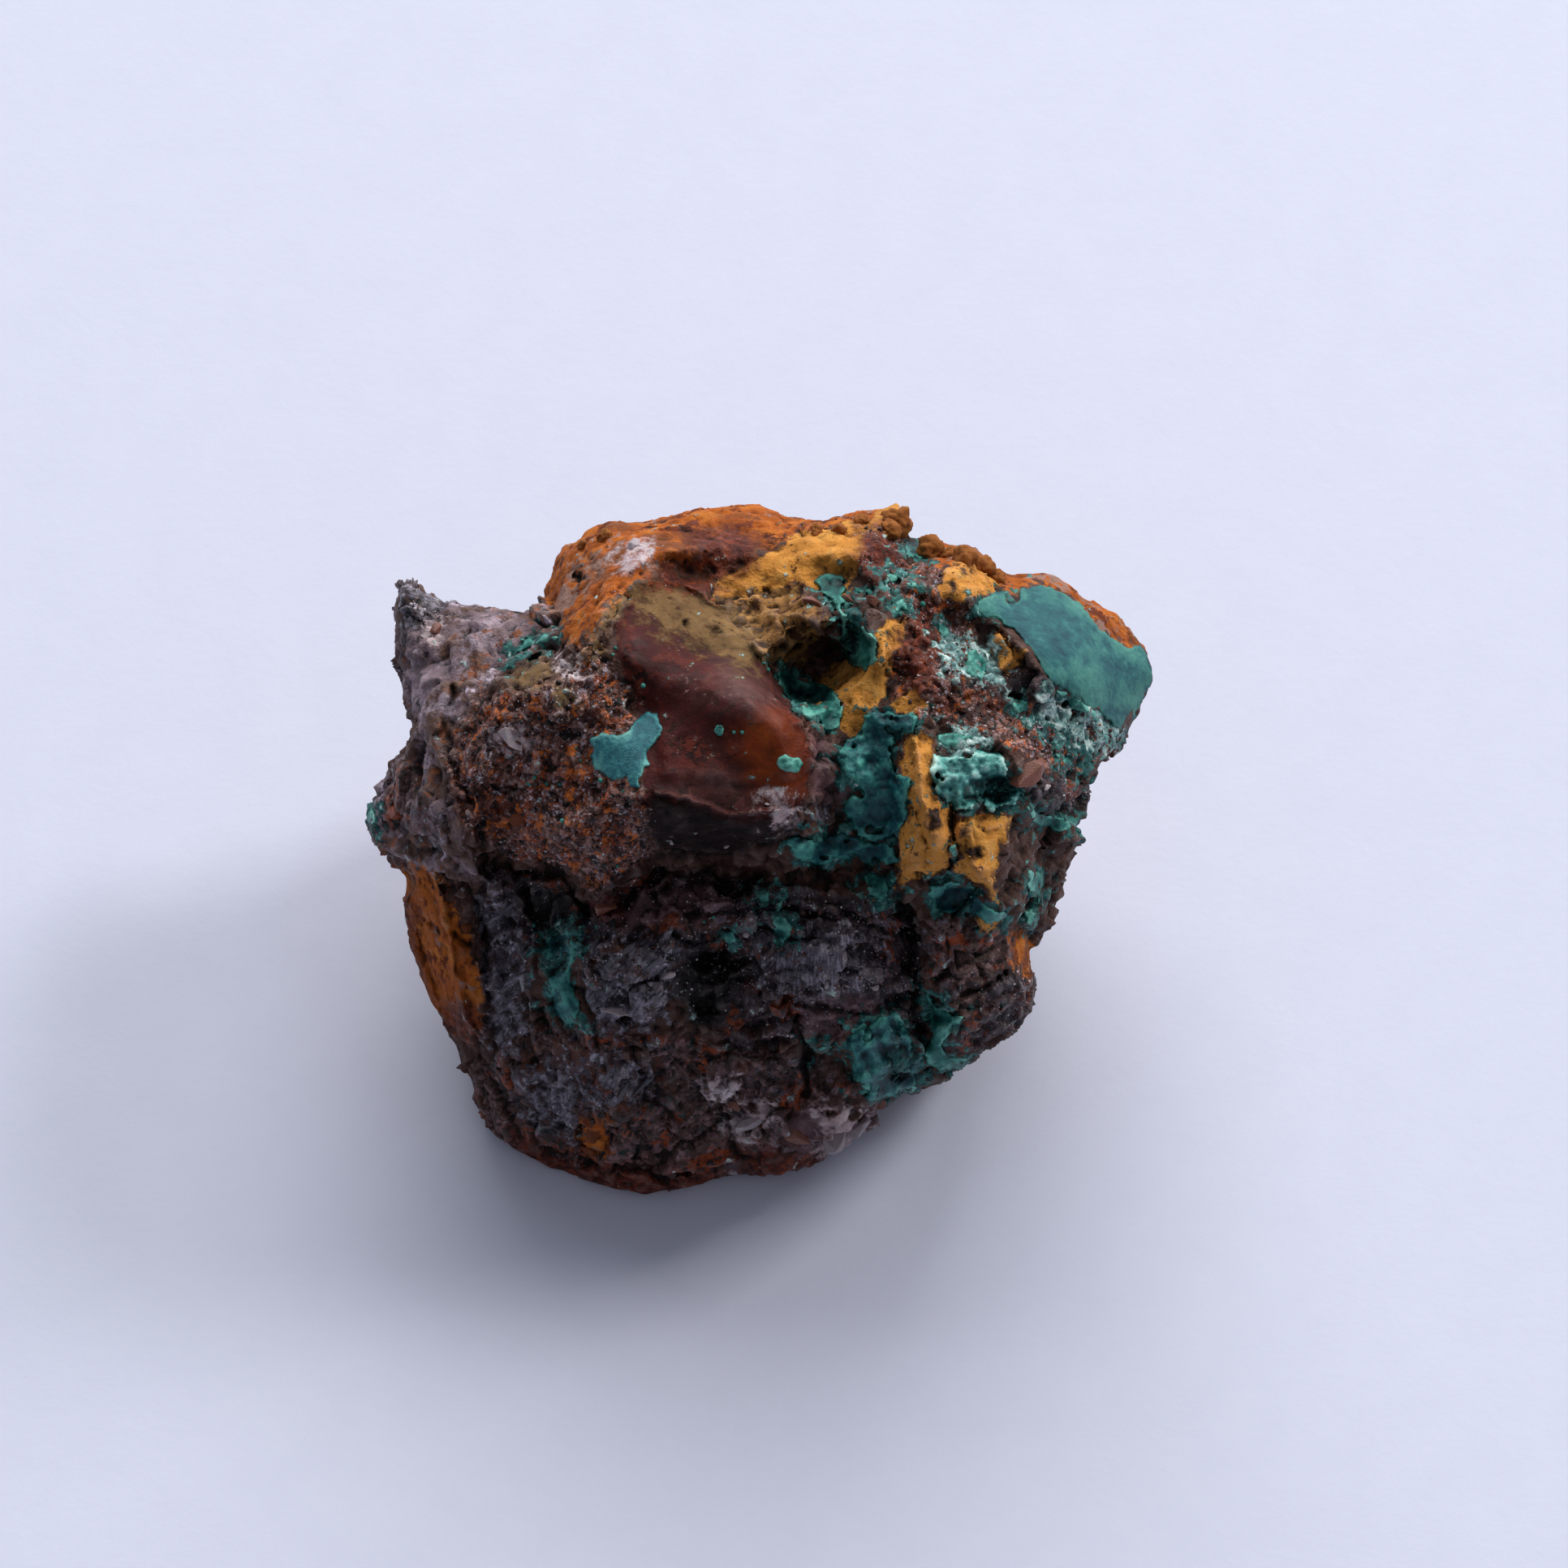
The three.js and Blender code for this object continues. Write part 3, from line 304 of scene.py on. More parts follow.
PLATES = [
    ([(800, 718), (835, 722), (880, 742), (945, 815), (985, 885), (985, 965), (900, 975), (812, 965),
      (794, 900), (788, 850), (764, 812), (766, 776), (782, 744)], 0.3, 0.9),
    ([(1188, 956), (1236, 948), (1256, 974), (1236, 994), (1195, 990)], -0.8, 0.5),
    ([(1078, 1282), (1120, 1274), (1138, 1300), (1132, 1338), (1090, 1344), (1078, 1320)], -1.1, 0.5),
    ([(568, 905), (604, 872), (650, 870), (660, 920), (640, 965), (600, 975), (570, 960)], 0.5, 0.5),
    ([(640, 815), (678, 812), (684, 836), (655, 852), (636, 850)], 0.45, 0.25),
    ([(1115, 905), (1150, 915), (1150, 985), (1172, 997), (1167, 1066), (1130, 1082), (1108, 1088),
      (1104, 1050), (1120, 1003)], 0.7, 0.8),
    ([(1176, 1011), (1245, 1003), (1229, 1064), (1224, 1112), (1190, 1079), (1172, 1060)], 0.8, 0.8),
    ([(980, 720), (1010, 728), (1035, 765), (1035, 795), (1000, 792), (985, 760)], 0.5, 0.4),
    ([(1150, 700), (1180, 690), (1235, 712), (1205, 742), (1160, 735)], 0.3, 0.4),
    ([(1220, 790), (1236, 780), (1258, 806), (1237, 830)], 0.35, 0.25),
    ([(1240, 935), (1270, 930), (1290, 960), (1262, 982), (1245, 965)], 0.5, 0.3),
    ([(720, 1160), (760, 1150), (830, 1180), (790, 1225), (740, 1215)], 0.4, 0.4),
    ([(740, 1310), (800, 1325), (775, 1362), (742, 1350)], 0.4, 0.3),
    ([(905, 1375), (950, 1368), (945, 1385), (912, 1398)], 0.4, 0.25),
    ([(1000, 1375), (1060, 1362), (1040, 1410), (1010, 1425)], 0.4, 0.4),
    ([(500, 1085), (540, 1095), (585, 1180), (590, 1260), (520, 1240), (495, 1150)], 0.3, 0.5),
    ([(1262, 960), (1330, 960), (1335, 985), (1275, 1000)], 0.35, 0.35),
    ([(726, 1108), (756, 1102), (770, 1114), (762, 1130), (740, 1132)], 0.5, 0.4),
    ([(845, 1185), (885, 1168), (930, 1180), (920, 1202), (870, 1206)], -1.0, 0.6),
    ([(845, 1222), (880, 1215), (892, 1250), (860, 1258)], -0.8, 0.5),
    ([(822, 1440), (860, 1438), (856, 1456), (830, 1456)], -0.9, 0.4),
    ([(640, 1085), (700, 1088), (715, 1120), (700, 1150), (655, 1150), (635, 1110)], -0.6, 0.6),
    ([(830, 1072), (960, 1085), (955, 1100), (850, 1100), (780, 1108)], -0.8, 0.5),
    ([(990, 1290), (1015, 1300), (1000, 1330), (988, 1320)], -0.6, 0.3),
    ([(1175, 978), (1200, 980), (1205, 993), (1180, 994)], -0.8, 0.3),
    ([(704, 702), (718, 702), (720, 718), (706, 720)], -0.6, 0.25),
    ([(1225, 848), (1262, 845), (1268, 858), (1235, 862)], -0.7, 0.3),
    ([(644, 812), (660, 806), (676, 810), (668, 818), (650, 820)], -0.7, 0.2),
]

# Ridges and grooves: line, rise in mm, and half width in mm.

SEAMS = [
    ([(715, 822), (738, 768), (775, 724), (812, 706), (850, 720)], 0.2, 0.35),
    ([(850, 720), (880, 740), (915, 765), (945, 810), (956, 830)], 0.3, 0.25),
    ([(702, 812), (728, 758), (768, 712), (812, 690), (858, 704), (892, 726), (925, 752),
      (960, 800)], -0.4, 0.8),
    ([(808, 972), (850, 986), (905, 1004), (960, 1000)], 0.35, 0.25),
    ([(640, 1060), (700, 1066), (731, 1106), (764, 1096), (806, 1056), (870, 1058)], 0.4, 0.4),
    ([(640, 1076), (694, 1084), (728, 1122), (770, 1112), (812, 1076), (940, 1082)], -0.7, 0.35),
    ([(850, 1125), (940, 1120), (1040, 1130), (1100, 1150)], -0.5, 0.3),
    ([(830, 1155), (930, 1150), (1020, 1162), (1090, 1180)], -0.5, 0.3),
    ([(930, 1225), (1020, 1240), (1060, 1252), (1110, 1235)], -0.5, 0.3),
    ([(930, 1200), (1010, 1205), (1100, 1195)], 0.3, 0.4),
    ([(1108, 1100), (1120, 1150), (1128, 1200), (1134, 1290)], -0.9, 0.4),
    ([(985, 1250), (992, 1300), (990, 1350)], -0.6, 0.25),
    ([(560, 850), (552, 900), (566, 960), (590, 1010), (606, 1080)], -0.5, 0.3),
    ([(540, 880), (545, 940), (560, 1000), (580, 1050)], 0.35, 0.25),
    ([(515, 900), (520, 950), (540, 1010), (560, 1060)], 0.3, 0.25),
    ([(455, 1045), (500, 1052), (560, 1072)], 0.3, 0.3),
    ([(590, 1085), (600, 1150), (600, 1250), (610, 1320)], -0.5, 0.4),
    ([(500, 1085), (512, 1130), (520, 1180), (536, 1225), (556, 1268)], -0.6, 0.5),
    ([(530, 1072), (544, 1120), (552, 1175), (566, 1225), (580, 1270)], 0.6, 0.4),
    ([(476, 1100), (490, 1150), (504, 1205), (524, 1250)], 0.4, 0.3),
    ([(520, 1140), (545, 1150), (575, 1165)], -0.4, 0.3),
    ([(640, 1110), (660, 1170), (652, 1240), (660, 1300)], 0.35, 0.3),
    ([(700, 660), (735, 700), (735, 745)], -0.3, 0.3),
    ([(880, 640), (900, 690), (885, 716)], 0.2, 0.4),
    ([(960, 640), (1000, 660), (1060, 655)], -0.2, 0.25),
    ([(1122, 1000), (1140, 1040), (1135, 1078)], -0.25, 0.2),
    ([(1171, 985), (1176, 1040), (1166, 1068)], -0.6, 0.2),
    ([(1202, 1010), (1196, 1050), (1212, 1090)], 0.2, 0.25),
    ([(1235, 780), (1270, 830), (1310, 870)], -0.5, 0.3),
    ([(1120, 760), (1160, 800), (1190, 860)], 0.3, 0.3),
    ([(1150, 830), (1200, 880), (1240, 920)], 0.3, 0.35),
    ([(1330, 960), (1290, 1040), (1260, 1130)], -0.4, 0.35),
    ([(1180, 1230), (1215, 1215), (1240, 1200)], -0.5, 0.3),
    ([(880, 1290), (960, 1320), (1010, 1350)], 0.3, 0.35),
    ([(780, 1300), (800, 1350), (860, 1400)], -0.4, 0.3),
    ([(660, 1430), (760, 1440), (820, 1462)], -0.4, 0.3),
    ([(940, 1405), (990, 1412), (1020, 1428)], 0.3, 0.25),
    ([(690, 1200), (730, 1250), (735, 1300)], -0.3, 0.25),
]

# Crusts, by the CAD node that each stands for: how far it stands proud, the size and relief of its beads, all
# in mm, its look, the outline of its edge, and that of a hollow in it. Smooth crusts bridge the unevenness of
# the rock, and a number says how much.

CRUSTS = {
    "crust_shoulder_plate": dict(
        stand=0.5, beads=1.1, relief=0.06, bridging=150, look="plate", edge=[
            (1259, 716), (1270, 705), (1288, 716), (1313, 730), (1331, 740), (1350, 762), (1368, 784),
            (1386, 794), (1408, 794), (1420, 810), (1430, 820), (1440, 838), (1430, 852), (1414, 856),
            (1403, 878), (1409, 897), (1393, 910), (1377, 901), (1359, 886), (1331, 865), (1302, 850),
            (1289, 839), (1277, 818), (1259, 796), (1245, 778), (1223, 766), (1200, 760), (1200, 741),
            (1222, 730), (1237, 730), (1246, 746), (1256, 738)]),
    "crust_jasper_patch": dict(
        stand=0.34, beads=0.6, relief=0.03, bridging=60, look="patch", edge=[
            (726, 912), (742, 903), (761, 905), (773, 899), (787, 887), (797, 878), (810, 878), (815, 891),
            (816, 909), (809, 920), (799, 930), (803, 943), (797, 954), (792, 961), (800, 972), (787, 977),
            (775, 970), (771, 961), (759, 962), (746, 954), (736, 947), (730, 933), (733, 924)]),
    "crust_cave_curtain": dict(
        stand=0.55, beads=0.5, relief=0.22, look="bright", edge=[
            (1000, 718), (1012, 708), (1028, 706), (1046, 714), (1040, 734), (1056, 748), (1062, 770),
            (1078, 790), (1081, 813), (1066, 826), (1047, 823), (1038, 804), (1034, 781), (1036, 759),
            (1022, 743), (1009, 732)]),
    "crust_cave_lip": dict(
        stand=0.5, beads=0.5, relief=0.2, look="bright", edge=[
            (954, 831), (960, 824), (972, 828), (986, 836), (1004, 841), (1024, 847), (1036, 864),
            (1040, 880), (1032, 898), (1016, 900), (1006, 887), (991, 884), (977, 868), (964, 854)]),
    "crust_rib_side": dict(
        stand=0.5, beads=0.6, relief=0.25, look="deep", edge=[
            (1060, 882), (1090, 876), (1130, 882), (1127, 904), (1108, 906), (1100, 925), (1104, 950),
            (1120, 958), (1117, 1010), (1104, 1028), (1078, 1040), (1056, 1032), (1040, 1006),
            (1042, 985), (1060, 978), (1050, 966), (1032, 950), (1030, 926), (1044, 912), (1062, 906)]),
    "crust_ledge": dict(
        stand=0.45, beads=0.6, relief=0.2, look="deep", edge=[
            (964, 1035), (984, 1026), (1006, 1022), (1036, 1024), (1060, 1036), (1098, 1034), (1104, 1062),
            (1070, 1066), (1040, 1060), (1010, 1066), (980, 1058)]),
    "crust_pocket": dict(
        stand=0.5, beads=0.45, relief=0.26, look="frosted",
        hollow=[
            (1176, 962), (1204, 956), (1240, 950), (1258, 974), (1240, 994), (1200, 996), (1178, 984)], edge=[
            (1148, 926), (1166, 932), (1198, 926), (1214, 922), (1234, 934), (1244, 953), (1262, 978),
            (1246, 995), (1223, 1005), (1187, 1004), (1172, 994), (1152, 979), (1142, 960)]),
    "crust_blade": dict(
        stand=0.4, beads=0.7, relief=0.12, look="deep", edge=[
            (1138, 1098), (1160, 1076), (1186, 1090), (1216, 1112), (1244, 1122), (1240, 1142),
            (1214, 1136), (1190, 1124), (1150, 1122)]),
    "crust_foot": dict(
        stand=0.4, beads=0.5, relief=0.26, look="deep",
        hollow=[(1080, 1288), (1112, 1278), (1132, 1306), (1126, 1334), (1096, 1336)], edge=[
            (1044, 1282), (1058, 1264), (1078, 1254), (1104, 1244), (1120, 1270), (1128, 1300),
            (1146, 1320), (1128, 1344), (1100, 1354), (1070, 1356), (1050, 1338), (1052, 1310)]),
    "crust_lobe_edge": dict(
        stand=0.45, beads=0.45, relief=0.22, look="bright", edge=[
            (1132, 1214), (1146, 1222), (1160, 1244), (1186, 1252), (1172, 1272), (1160, 1288),
            (1176, 1300), (1196, 1304), (1184, 1320), (1156, 1320), (1138, 1300), (1148, 1272),
            (1142, 1246)]),
    "crust_left_fan": dict(
        stand=0.3, beads=0.5, relief=0.15, look="deep", edge=[
            (670, 1160), (700, 1144), (714, 1162), (702, 1200), (718, 1244), (706, 1268), (684, 1252),
            (676, 1214)]),
}

# The outlines of small crusts, all of one look.

SMALL_CRUSTS = [
    [(956, 932), (968, 926), (986, 930), (996, 942), (984, 956), (966, 954), (956, 944)],
    [(1051, 722), (1074, 724), (1092, 730), (1088, 738), (1064, 736), (1050, 732)],
    [(1086, 708), (1100, 702), (1110, 712), (1104, 720), (1090, 720)],
    [(1114, 718), (1130, 716), (1132, 728), (1118, 730)],
    [(1098, 740), (1112, 738), (1118, 752), (1104, 754)],
    [(1150, 768), (1166, 768), (1174, 782), (1160, 788)],
    [(1110, 662), (1130, 664), (1148, 680), (1134, 692), (1118, 684)],
    [(1062, 1076), (1084, 1078), (1106, 1074), (1104, 1098), (1088, 1114), (1068, 1104)],
    [(952, 1112), (966, 1104), (972, 1130), (980, 1146), (964, 1166), (954, 1150)],
    [(930, 1100), (948, 1096), (950, 1112), (936, 1116)],
    [(990, 1280), (1006, 1282), (1026, 1288), (1018, 1300), (1000, 1296)],
    [(1166, 1042), (1178, 1036), (1180, 1056), (1170, 1064)],
    [(1266, 1074), (1288, 1070), (1286, 1108), (1274, 1148), (1262, 1144), (1266, 1108)],
    [(1258, 990), (1290, 1004), (1330, 1002), (1342, 1014), (1310, 1026), (1270, 1014)],
    [(1186, 800), (1206, 798), (1216, 820), (1208, 842), (1190, 830)],
    [(1300, 852), (1330, 858), (1362, 880), (1350, 890), (1318, 876)],
    [(1350, 900), (1376, 906), (1388, 926), (1366, 922)],
    [(1240, 862), (1262, 860), (1270, 876), (1252, 884)],
    [(1300, 930), (1322, 934), (1328, 956), (1308, 950)],
    [(1150, 904), (1180, 898), (1198, 908), (1176, 922), (1156, 920)],
    [(626, 820), (632, 800), (650, 788), (672, 780), (688, 786), (664, 798), (642, 806)],
    [(884, 892), (892, 891), (897, 900), (893, 909), (884, 909), (879, 901)],
    [(446, 998), (458, 992), (464, 1010), (454, 1022)],
    [(890, 1150), (904, 1146), (910, 1158), (898, 1164)],
    [(1046, 1266), (1064, 1256), (1082, 1264), (1078, 1284), (1058, 1288)],
    [(1092, 1250), (1110, 1246), (1120, 1262), (1104, 1272)],
    [(1054, 1328), (1076, 1320), (1092, 1340), (1078, 1354), (1058, 1346)],
    [(1106, 1340), (1126, 1332), (1134, 1344), (1112, 1356)],
]

# Beads of pseudomalachite that stand alone: square and size in mm.

BEADS = [
    (655, 965, 0.3), (661, 958, 0.2), (676, 966, 0.26), (692, 967, 0.28), (663, 952, 0.16),
    (742, 962, 0.26), (696, 1011, 0.26), (794, 846, 0.26), (718, 938, 0.16), (760, 800, 0.2),
    (757, 808, 0.16), (905, 903, 0.18), (915, 903, 0.2), (946, 826, 0.2), (940, 818, 0.16), (966, 822, 0.2),
    (712, 922, 0.14), (770, 975, 0.14), (1063, 992, 0.2), (1070, 985, 0.2), (1056, 984, 0.2),
    (1063, 977, 0.2), (1085, 925, 0.3), (1078, 932, 0.24), (1122, 882, 0.3), (762, 1066, 0.2),
    (1136, 746, 0.3), (1030, 716, 0.3), (1108, 758, 0.24), (658, 1140, 0.2), (880, 1130, 0.2),
    (868, 1134, 0.2),
]

# Round lumps of orange earth along the top rim: square and size in mm.

RIM_LUMPS = [
    (1100, 640, 1.6), (1092, 654, 1.0), (1064, 644, 0.7), (1034, 654, 0.6), (1148, 682, 1.3),
    (1170, 684, 0.8), (1188, 690, 1.0), (1206, 698, 1.2), (1228, 714, 0.8), (1006, 656, 0.6),
    (744, 662, 0.7), (718, 672, 0.6),
]

# Loose-looking chips grown into the surface: square, length, width and height in mm, turn, and look.

SHARDS = [
    (640, 912, 2.1, 1.0, 1.3, -25, "quartz"), (762, 1245, 1.6, 0.4, 1.0, -4, "quartz"),
    (926, 1382, 2.2, 0.7, 1.1, 27, "quartz"), (1028, 1400, 2.6, 1.3, 1.3, 78, "quartz"),
    (1058, 1388, 1.8, 0.7, 1.1, 55, "quartz"), (985, 1396, 1.8, 1.4, 0.5, -15, "feldspar"),
    (828, 1036, 0.45, 0.25, 0.3, -60, "quartz"), (896, 1042, 0.35, 0.25, 0.25, 20, "quartz"),
    (955, 1000, 0.5, 0.35, 0.3, 40, "quartz"), (968, 1012, 0.45, 0.3, 0.3, -30, "quartz"),
    (946, 990, 0.35, 0.2, 0.25, 10, "quartz"), (1288, 970, 0.5, 0.35, 0.3, 35, "quartz"),
    (700, 822, 1.0, 0.5, 0.4, -60, "quartz"), (782, 672, 0.9, 0.7, 0.5, 70, "quartz"),
    (902, 1446, 0.8, 0.45, 0.4, -10, "quartz"), (886, 1340, 1.0, 0.5, 0.8, 15, "quartz"),
    (975, 1275, 0.4, 0.3, 0.3, 0, "quartz"), (1078, 1215, 0.5, 0.4, 0.3, 10, "quartz"),
    (823, 1200, 0.9, 0.5, 0.4, 10, "quartz"), (920, 1150, 0.5, 0.4, 0.3, 30, "quartz"),
    (1018, 1212, 0.25, 0.6, 0.25, 0, "quartz"), (1262, 955, 2.4, 1.3, 1.2, 35, "feldspar"),
    (748, 1118, 1.4, 0.9, 0.7, 5, "feldspar"), (1000, 745, 1.1, 0.8, 0.6, -20, "feldspar"),
    (1046, 740, 1.0, 0.6, 0.5, -15, "feldspar"), (1075, 742, 0.8, 0.5, 0.5, -40, "feldspar"),
    (536, 775, 0.9, 0.6, 0.4, 60, "feldspar"), (730, 1395, 0.9, 1.4, 0.6, 8, "rust"),
    (725, 1418, 1.2, 0.7, 0.5, -10, "rust"), (640, 1010, 0.9, 0.8, 0.5, 0, "rust"),
    (575, 1145, 0.7, 0.9, 0.4, 20, "rust"), (770, 1172, 1.6, 0.35, 0.5, 38, "blade"),
    (790, 1162, 1.5, 0.3, 0.45, 40, "blade"), (752, 1188, 1.3, 0.3, 0.4, 36, "blade"),
    (806, 1186, 1.5, 0.35, 0.4, 42, "blade"), (735, 1165, 1.0, 0.3, 0.4, 70, "blade"),
    (786, 1340, 1.8, 0.3, 0.45, 42, "blade"), (768, 1346, 1.4, 0.3, 0.4, 60, "blade"),
    (800, 1330, 1.3, 0.25, 0.35, 45, "blade"), (905, 1362, 0.8, 0.6, 0.4, -30, "feldspar"),
    (1085, 1360, 0.8, 0.6, 0.4, 20, "feldspar"),
]


# Numbers over many points at once

def on_sheet(points):
    """x and y in squares and height in mm, for points of the part in mm."""
    local = points - SHEET_ORIGIN
    x = OVER_ORIGIN[0] + local @ SHEET_RIGHT / SQUARE
    y = OVER_ORIGIN[1] - local @ SHEET_UP / SQUARE
    return np.column_stack([x, y, local @ SHEET_OUT])


def off_sheet(x, y, height):
    """Points of the part in mm, for squares and a height in mm."""
    across, up = np.asarray(x, float) - OVER_ORIGIN[0], OVER_ORIGIN[1] - np.asarray(y, float)
    height = np.asarray(height, float)
    return (SHEET_ORIGIN + across[..., None] * SQUARE * SHEET_RIGHT + up[..., None] * SQUARE * SHEET_UP
            + height[..., None] * SHEET_OUT)


def line_distance(points, x, y):
    """mm from each square to a line through points, which are squares too."""
    nearest = np.full(len(x), np.inf)
    for (ax, ay), (bx, by) in zip(points[:-1], points[1:]):
        run, rise = bx - ax, by - ay
        along = np.clip(((x - ax) * run + (y - ay) * rise) / (run * run + rise * rise), 0, 1)
        nearest = np.minimum(nearest, np.hypot(x - ax - along * run, y - ay - along * rise))
    return nearest * SQUARE


def inside_distance(outline, x, y):
    """mm from each square to an outline, positive inside."""
    inside = np.zeros(len(x), bool)
    for (ax, ay), (bx, by) in zip(outline, outline[1:] + outline[:1]):
        if ay == by:
            continue
        crosses = (y < ay) != (y < by)
        inside ^= crosses & (x < ax + (y - ay) * (bx - ax) / (by - ay))
    return np.where(inside, 1, -1) * line_distance(outline + outline[:1], x, y)


def ramp(values, low, high):
    """0 below low, 1 above high, and a smooth step between."""
    t = np.clip((values - low) / (high - low), 0, 1)
    return t * t * (3 - 2 * t)


def scatter(cells, seed):
    """A number from 0 to 1 for each whole-number cell."""
    mixed = np.full(len(cells), seed * 2654435761 % 2 ** 32, np.uint64)
    for axis, stride in enumerate((73856093, 19349663, 83492791)):
        mixed = (mixed ^ (cells[:, axis].astype(np.int64).astype(np.uint64) * np.uint64(stride)))
        mixed = (mixed * np.uint64(0x9E3779B97F4A7C15)) ^ (mixed >> np.uint64(29))
    return (mixed >> np.uint64(11)).astype(float) / 2 ** 53


def lumps(points, size, seed):
    """Smooth noise from -1 to 1 with lumps of a size in mm."""
    at = points / size
    cell = np.floor(at)
    share = at - cell
    share = share * share * (3 - 2 * share)
    total = np.zeros(len(points))
    for corner in np.ndindex(2, 2, 2):
        weight = np.prod(np.where(corner, share, 1 - share), axis=1)
        total += weight * scatter(cell + corner, seed)
    return 2 * total - 1


def rough(points, size, seed, octaves=3):
    """Lumps of several sizes on each other."""
    return sum(lumps(points + 7 * i, size / 2 ** i, seed + i) / 1.8 ** i for i in range(octaves)) / 1.7


def cells(points, size, seed):
    """For each point: distance to its nearest scattered site, distance to the next, the height of the
    site's tilted facet, and the site's chance from 0 to 1."""
    at = points / size
    home = np.floor(at)
    first = np.full(len(points), np.inf)
    second = first.copy()
    facet = np.zeros(len(points))
    chance = facet.copy()
    for step in np.ndindex(3, 3, 3):
        cell = home + np.array(step) - 1
        site = np.column_stack([scatter(cell, seed + axis) for axis in range(3)])
        away = at - cell - site
        distance = np.linalg.norm(away, axis=1)
        tilt = np.column_stack([scatter(cell, seed + 4 + axis) * 2 - 1 for axis in range(3)])
        level = scatter(cell, seed + 3)
        closer = distance < first
        second = np.where(closer, first, np.minimum(second, distance))
        facet = np.where(closer, level - 0.5 + np.sum(away * tilt, axis=1), facet)
        chance = np.where(closer, level, chance)
        first = np.where(closer, distance, first)
    return first, second, facet, chance


def facet_heights(points, size, seed):
    """Heights of tilted facets."""
    return cells(points, size, seed)[2]


def crevices(first, second, width):
    """1 where two cells meet and 0 away from there. The width is a share of the cells' size."""
    return np.exp(-(second - first) / width)


def pits(points, size, share, seed):
    """Round pits from 0 to 1 in some of the cells."""
    first, _, _, chance = cells(points, size, seed)
    return ramp(-first, -0.42, -0.2) * (chance < share)


def beads(points, size, seed):
    """Round bumps from 0 to 1, with sharp creases between them."""
    first = cells(points, size, seed)[0]
    return np.sqrt(np.clip(1 - first ** 2, 0, 1))


def smoothed(points, edges, passes):
    """Points moved towards the middle of their neighbours, a number of times."""
    count = len(points)
    neighbours = np.bincount(edges.ravel(), minlength=count)[:, None]
    for _ in range(passes):
        total = np.column_stack([
            np.bincount(edges[:, 0], points[edges[:, 1], axis], count)
            + np.bincount(edges[:, 1], points[edges[:, 0], axis], count) for axis in range(3)])
        points = (points + total / neighbours) / 2
    return points


# Meshes

def points_of(mesh):
    """A mesh's points in mm."""
    flat = np.empty(len(mesh.vertices) * 3)
    mesh.vertices.foreach_get("co", flat)
    return flat.reshape(-1, 3) / MM


def move_points(mesh, points):
    """Sets a mesh's points from mm, kept inside the frame's box."""
    low, high = (np.array(corner) for corner in CAD_BOX)
    mesh.vertices.foreach_set("co", np.clip(points * MM, low, high).ravel())
    mesh.update()


def normals_of(mesh):
    """Which way a mesh faces at each of its points."""
    flat = np.empty(len(mesh.vertices) * 3, np.float32)
    mesh.vertex_normals.foreach_get("vector", flat)
    return flat.reshape(-1, 3).astype(float)


def edges_of(mesh):
    """The pairs of points that a mesh's edges join."""
    flat = np.empty(len(mesh.edges) * 2, np.int32)
    mesh.edges.foreach_get("vertices", flat)
    return flat.reshape(-1, 2)


def set_values(mesh, name, values):
    """Keeps a number for each point, which materials and scattered grains read."""
    attribute = mesh.attributes.new(name, "FLOAT", "POINT")
    attribute.data.foreach_set("value", np.asarray(values, np.float32))


def new_piece(name, mesh):
    """A piece of the scene from a mesh."""
    piece = bpy.data.objects.new(name, mesh)
    bpy.context.scene.collection.objects.link(piece)
    return piece


def mesh_from(name, points, faces):
    """A smooth mesh from points in mm and faces."""
    mesh = bpy.data.meshes.new(name)
    mesh.from_pydata([tuple(p) for p in points], [], faces)
    move_points(mesh, points)
    mesh.shade_smooth()
    return mesh


def after_modifiers(piece):
    """The mesh that a piece's modifiers make."""
    graph = bpy.context.evaluated_depsgraph_get()
    mesh = bpy.data.meshes.new_from_object(piece.evaluated_get(graph), depsgraph=graph)
    piece.modifiers.clear()
    return mesh


def remeshed(mesh, voxel):
    """A closed mesh of even small faces over another mesh."""
    piece = new_piece("remesh", mesh)
    modifier = piece.modifiers.new("remesh", "REMESH")
    modifier.mode = "VOXEL"
    modifier.voxel_size = voxel * MM
    even = after_modifiers(piece)
    bpy.data.objects.remove(piece)
    return even


def surface_tree(mesh):
    """A search tree over a mesh, for points in mm."""
    polygons = [tuple(p.vertices) for p in mesh.polygons]
    return BVHTree.FromPolygons([Vector(p) for p in points_of(mesh)], polygons)


def merged_node(name):
    """A copy of a CAD node's mesh with its loose triangles joined."""
    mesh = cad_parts[name].data.copy()
    shape = bmesh.new()
    shape.from_mesh(mesh)
    bmesh.ops.remove_doubles(shape, verts=shape.verts, dist=1e-6)
    shape.to_mesh(mesh)
    shape.free()
    return mesh


# The rock

def facing_display(mesh):
    """Which points can be seen straight from the sheet, or lie under a thin cover only."""
    tree = surface_tree(mesh)
    out = Vector(SHEET_OUT)
    shown = []
    for point in points_of(mesh):
        hit = tree.ray_cast(Vector(point) + out * 0.1, out)
        shown.append(hit[0] is None or hit[3] < THIN_COVER)
    return np.array(shown)


def halve_faces(mesh, shown):
    """Splits the faces of the display side into four."""
    shape = bmesh.new()
    shape.from_mesh(mesh)
    edges = [e for e in shape.edges if shown[e.verts[0].index] and shown[e.verts[1].index]]
    bmesh.ops.subdivide_edges(shape, edges=edges, cuts=1, use_grid_fill=True)
    shape.to_mesh(mesh)
    shape.free()


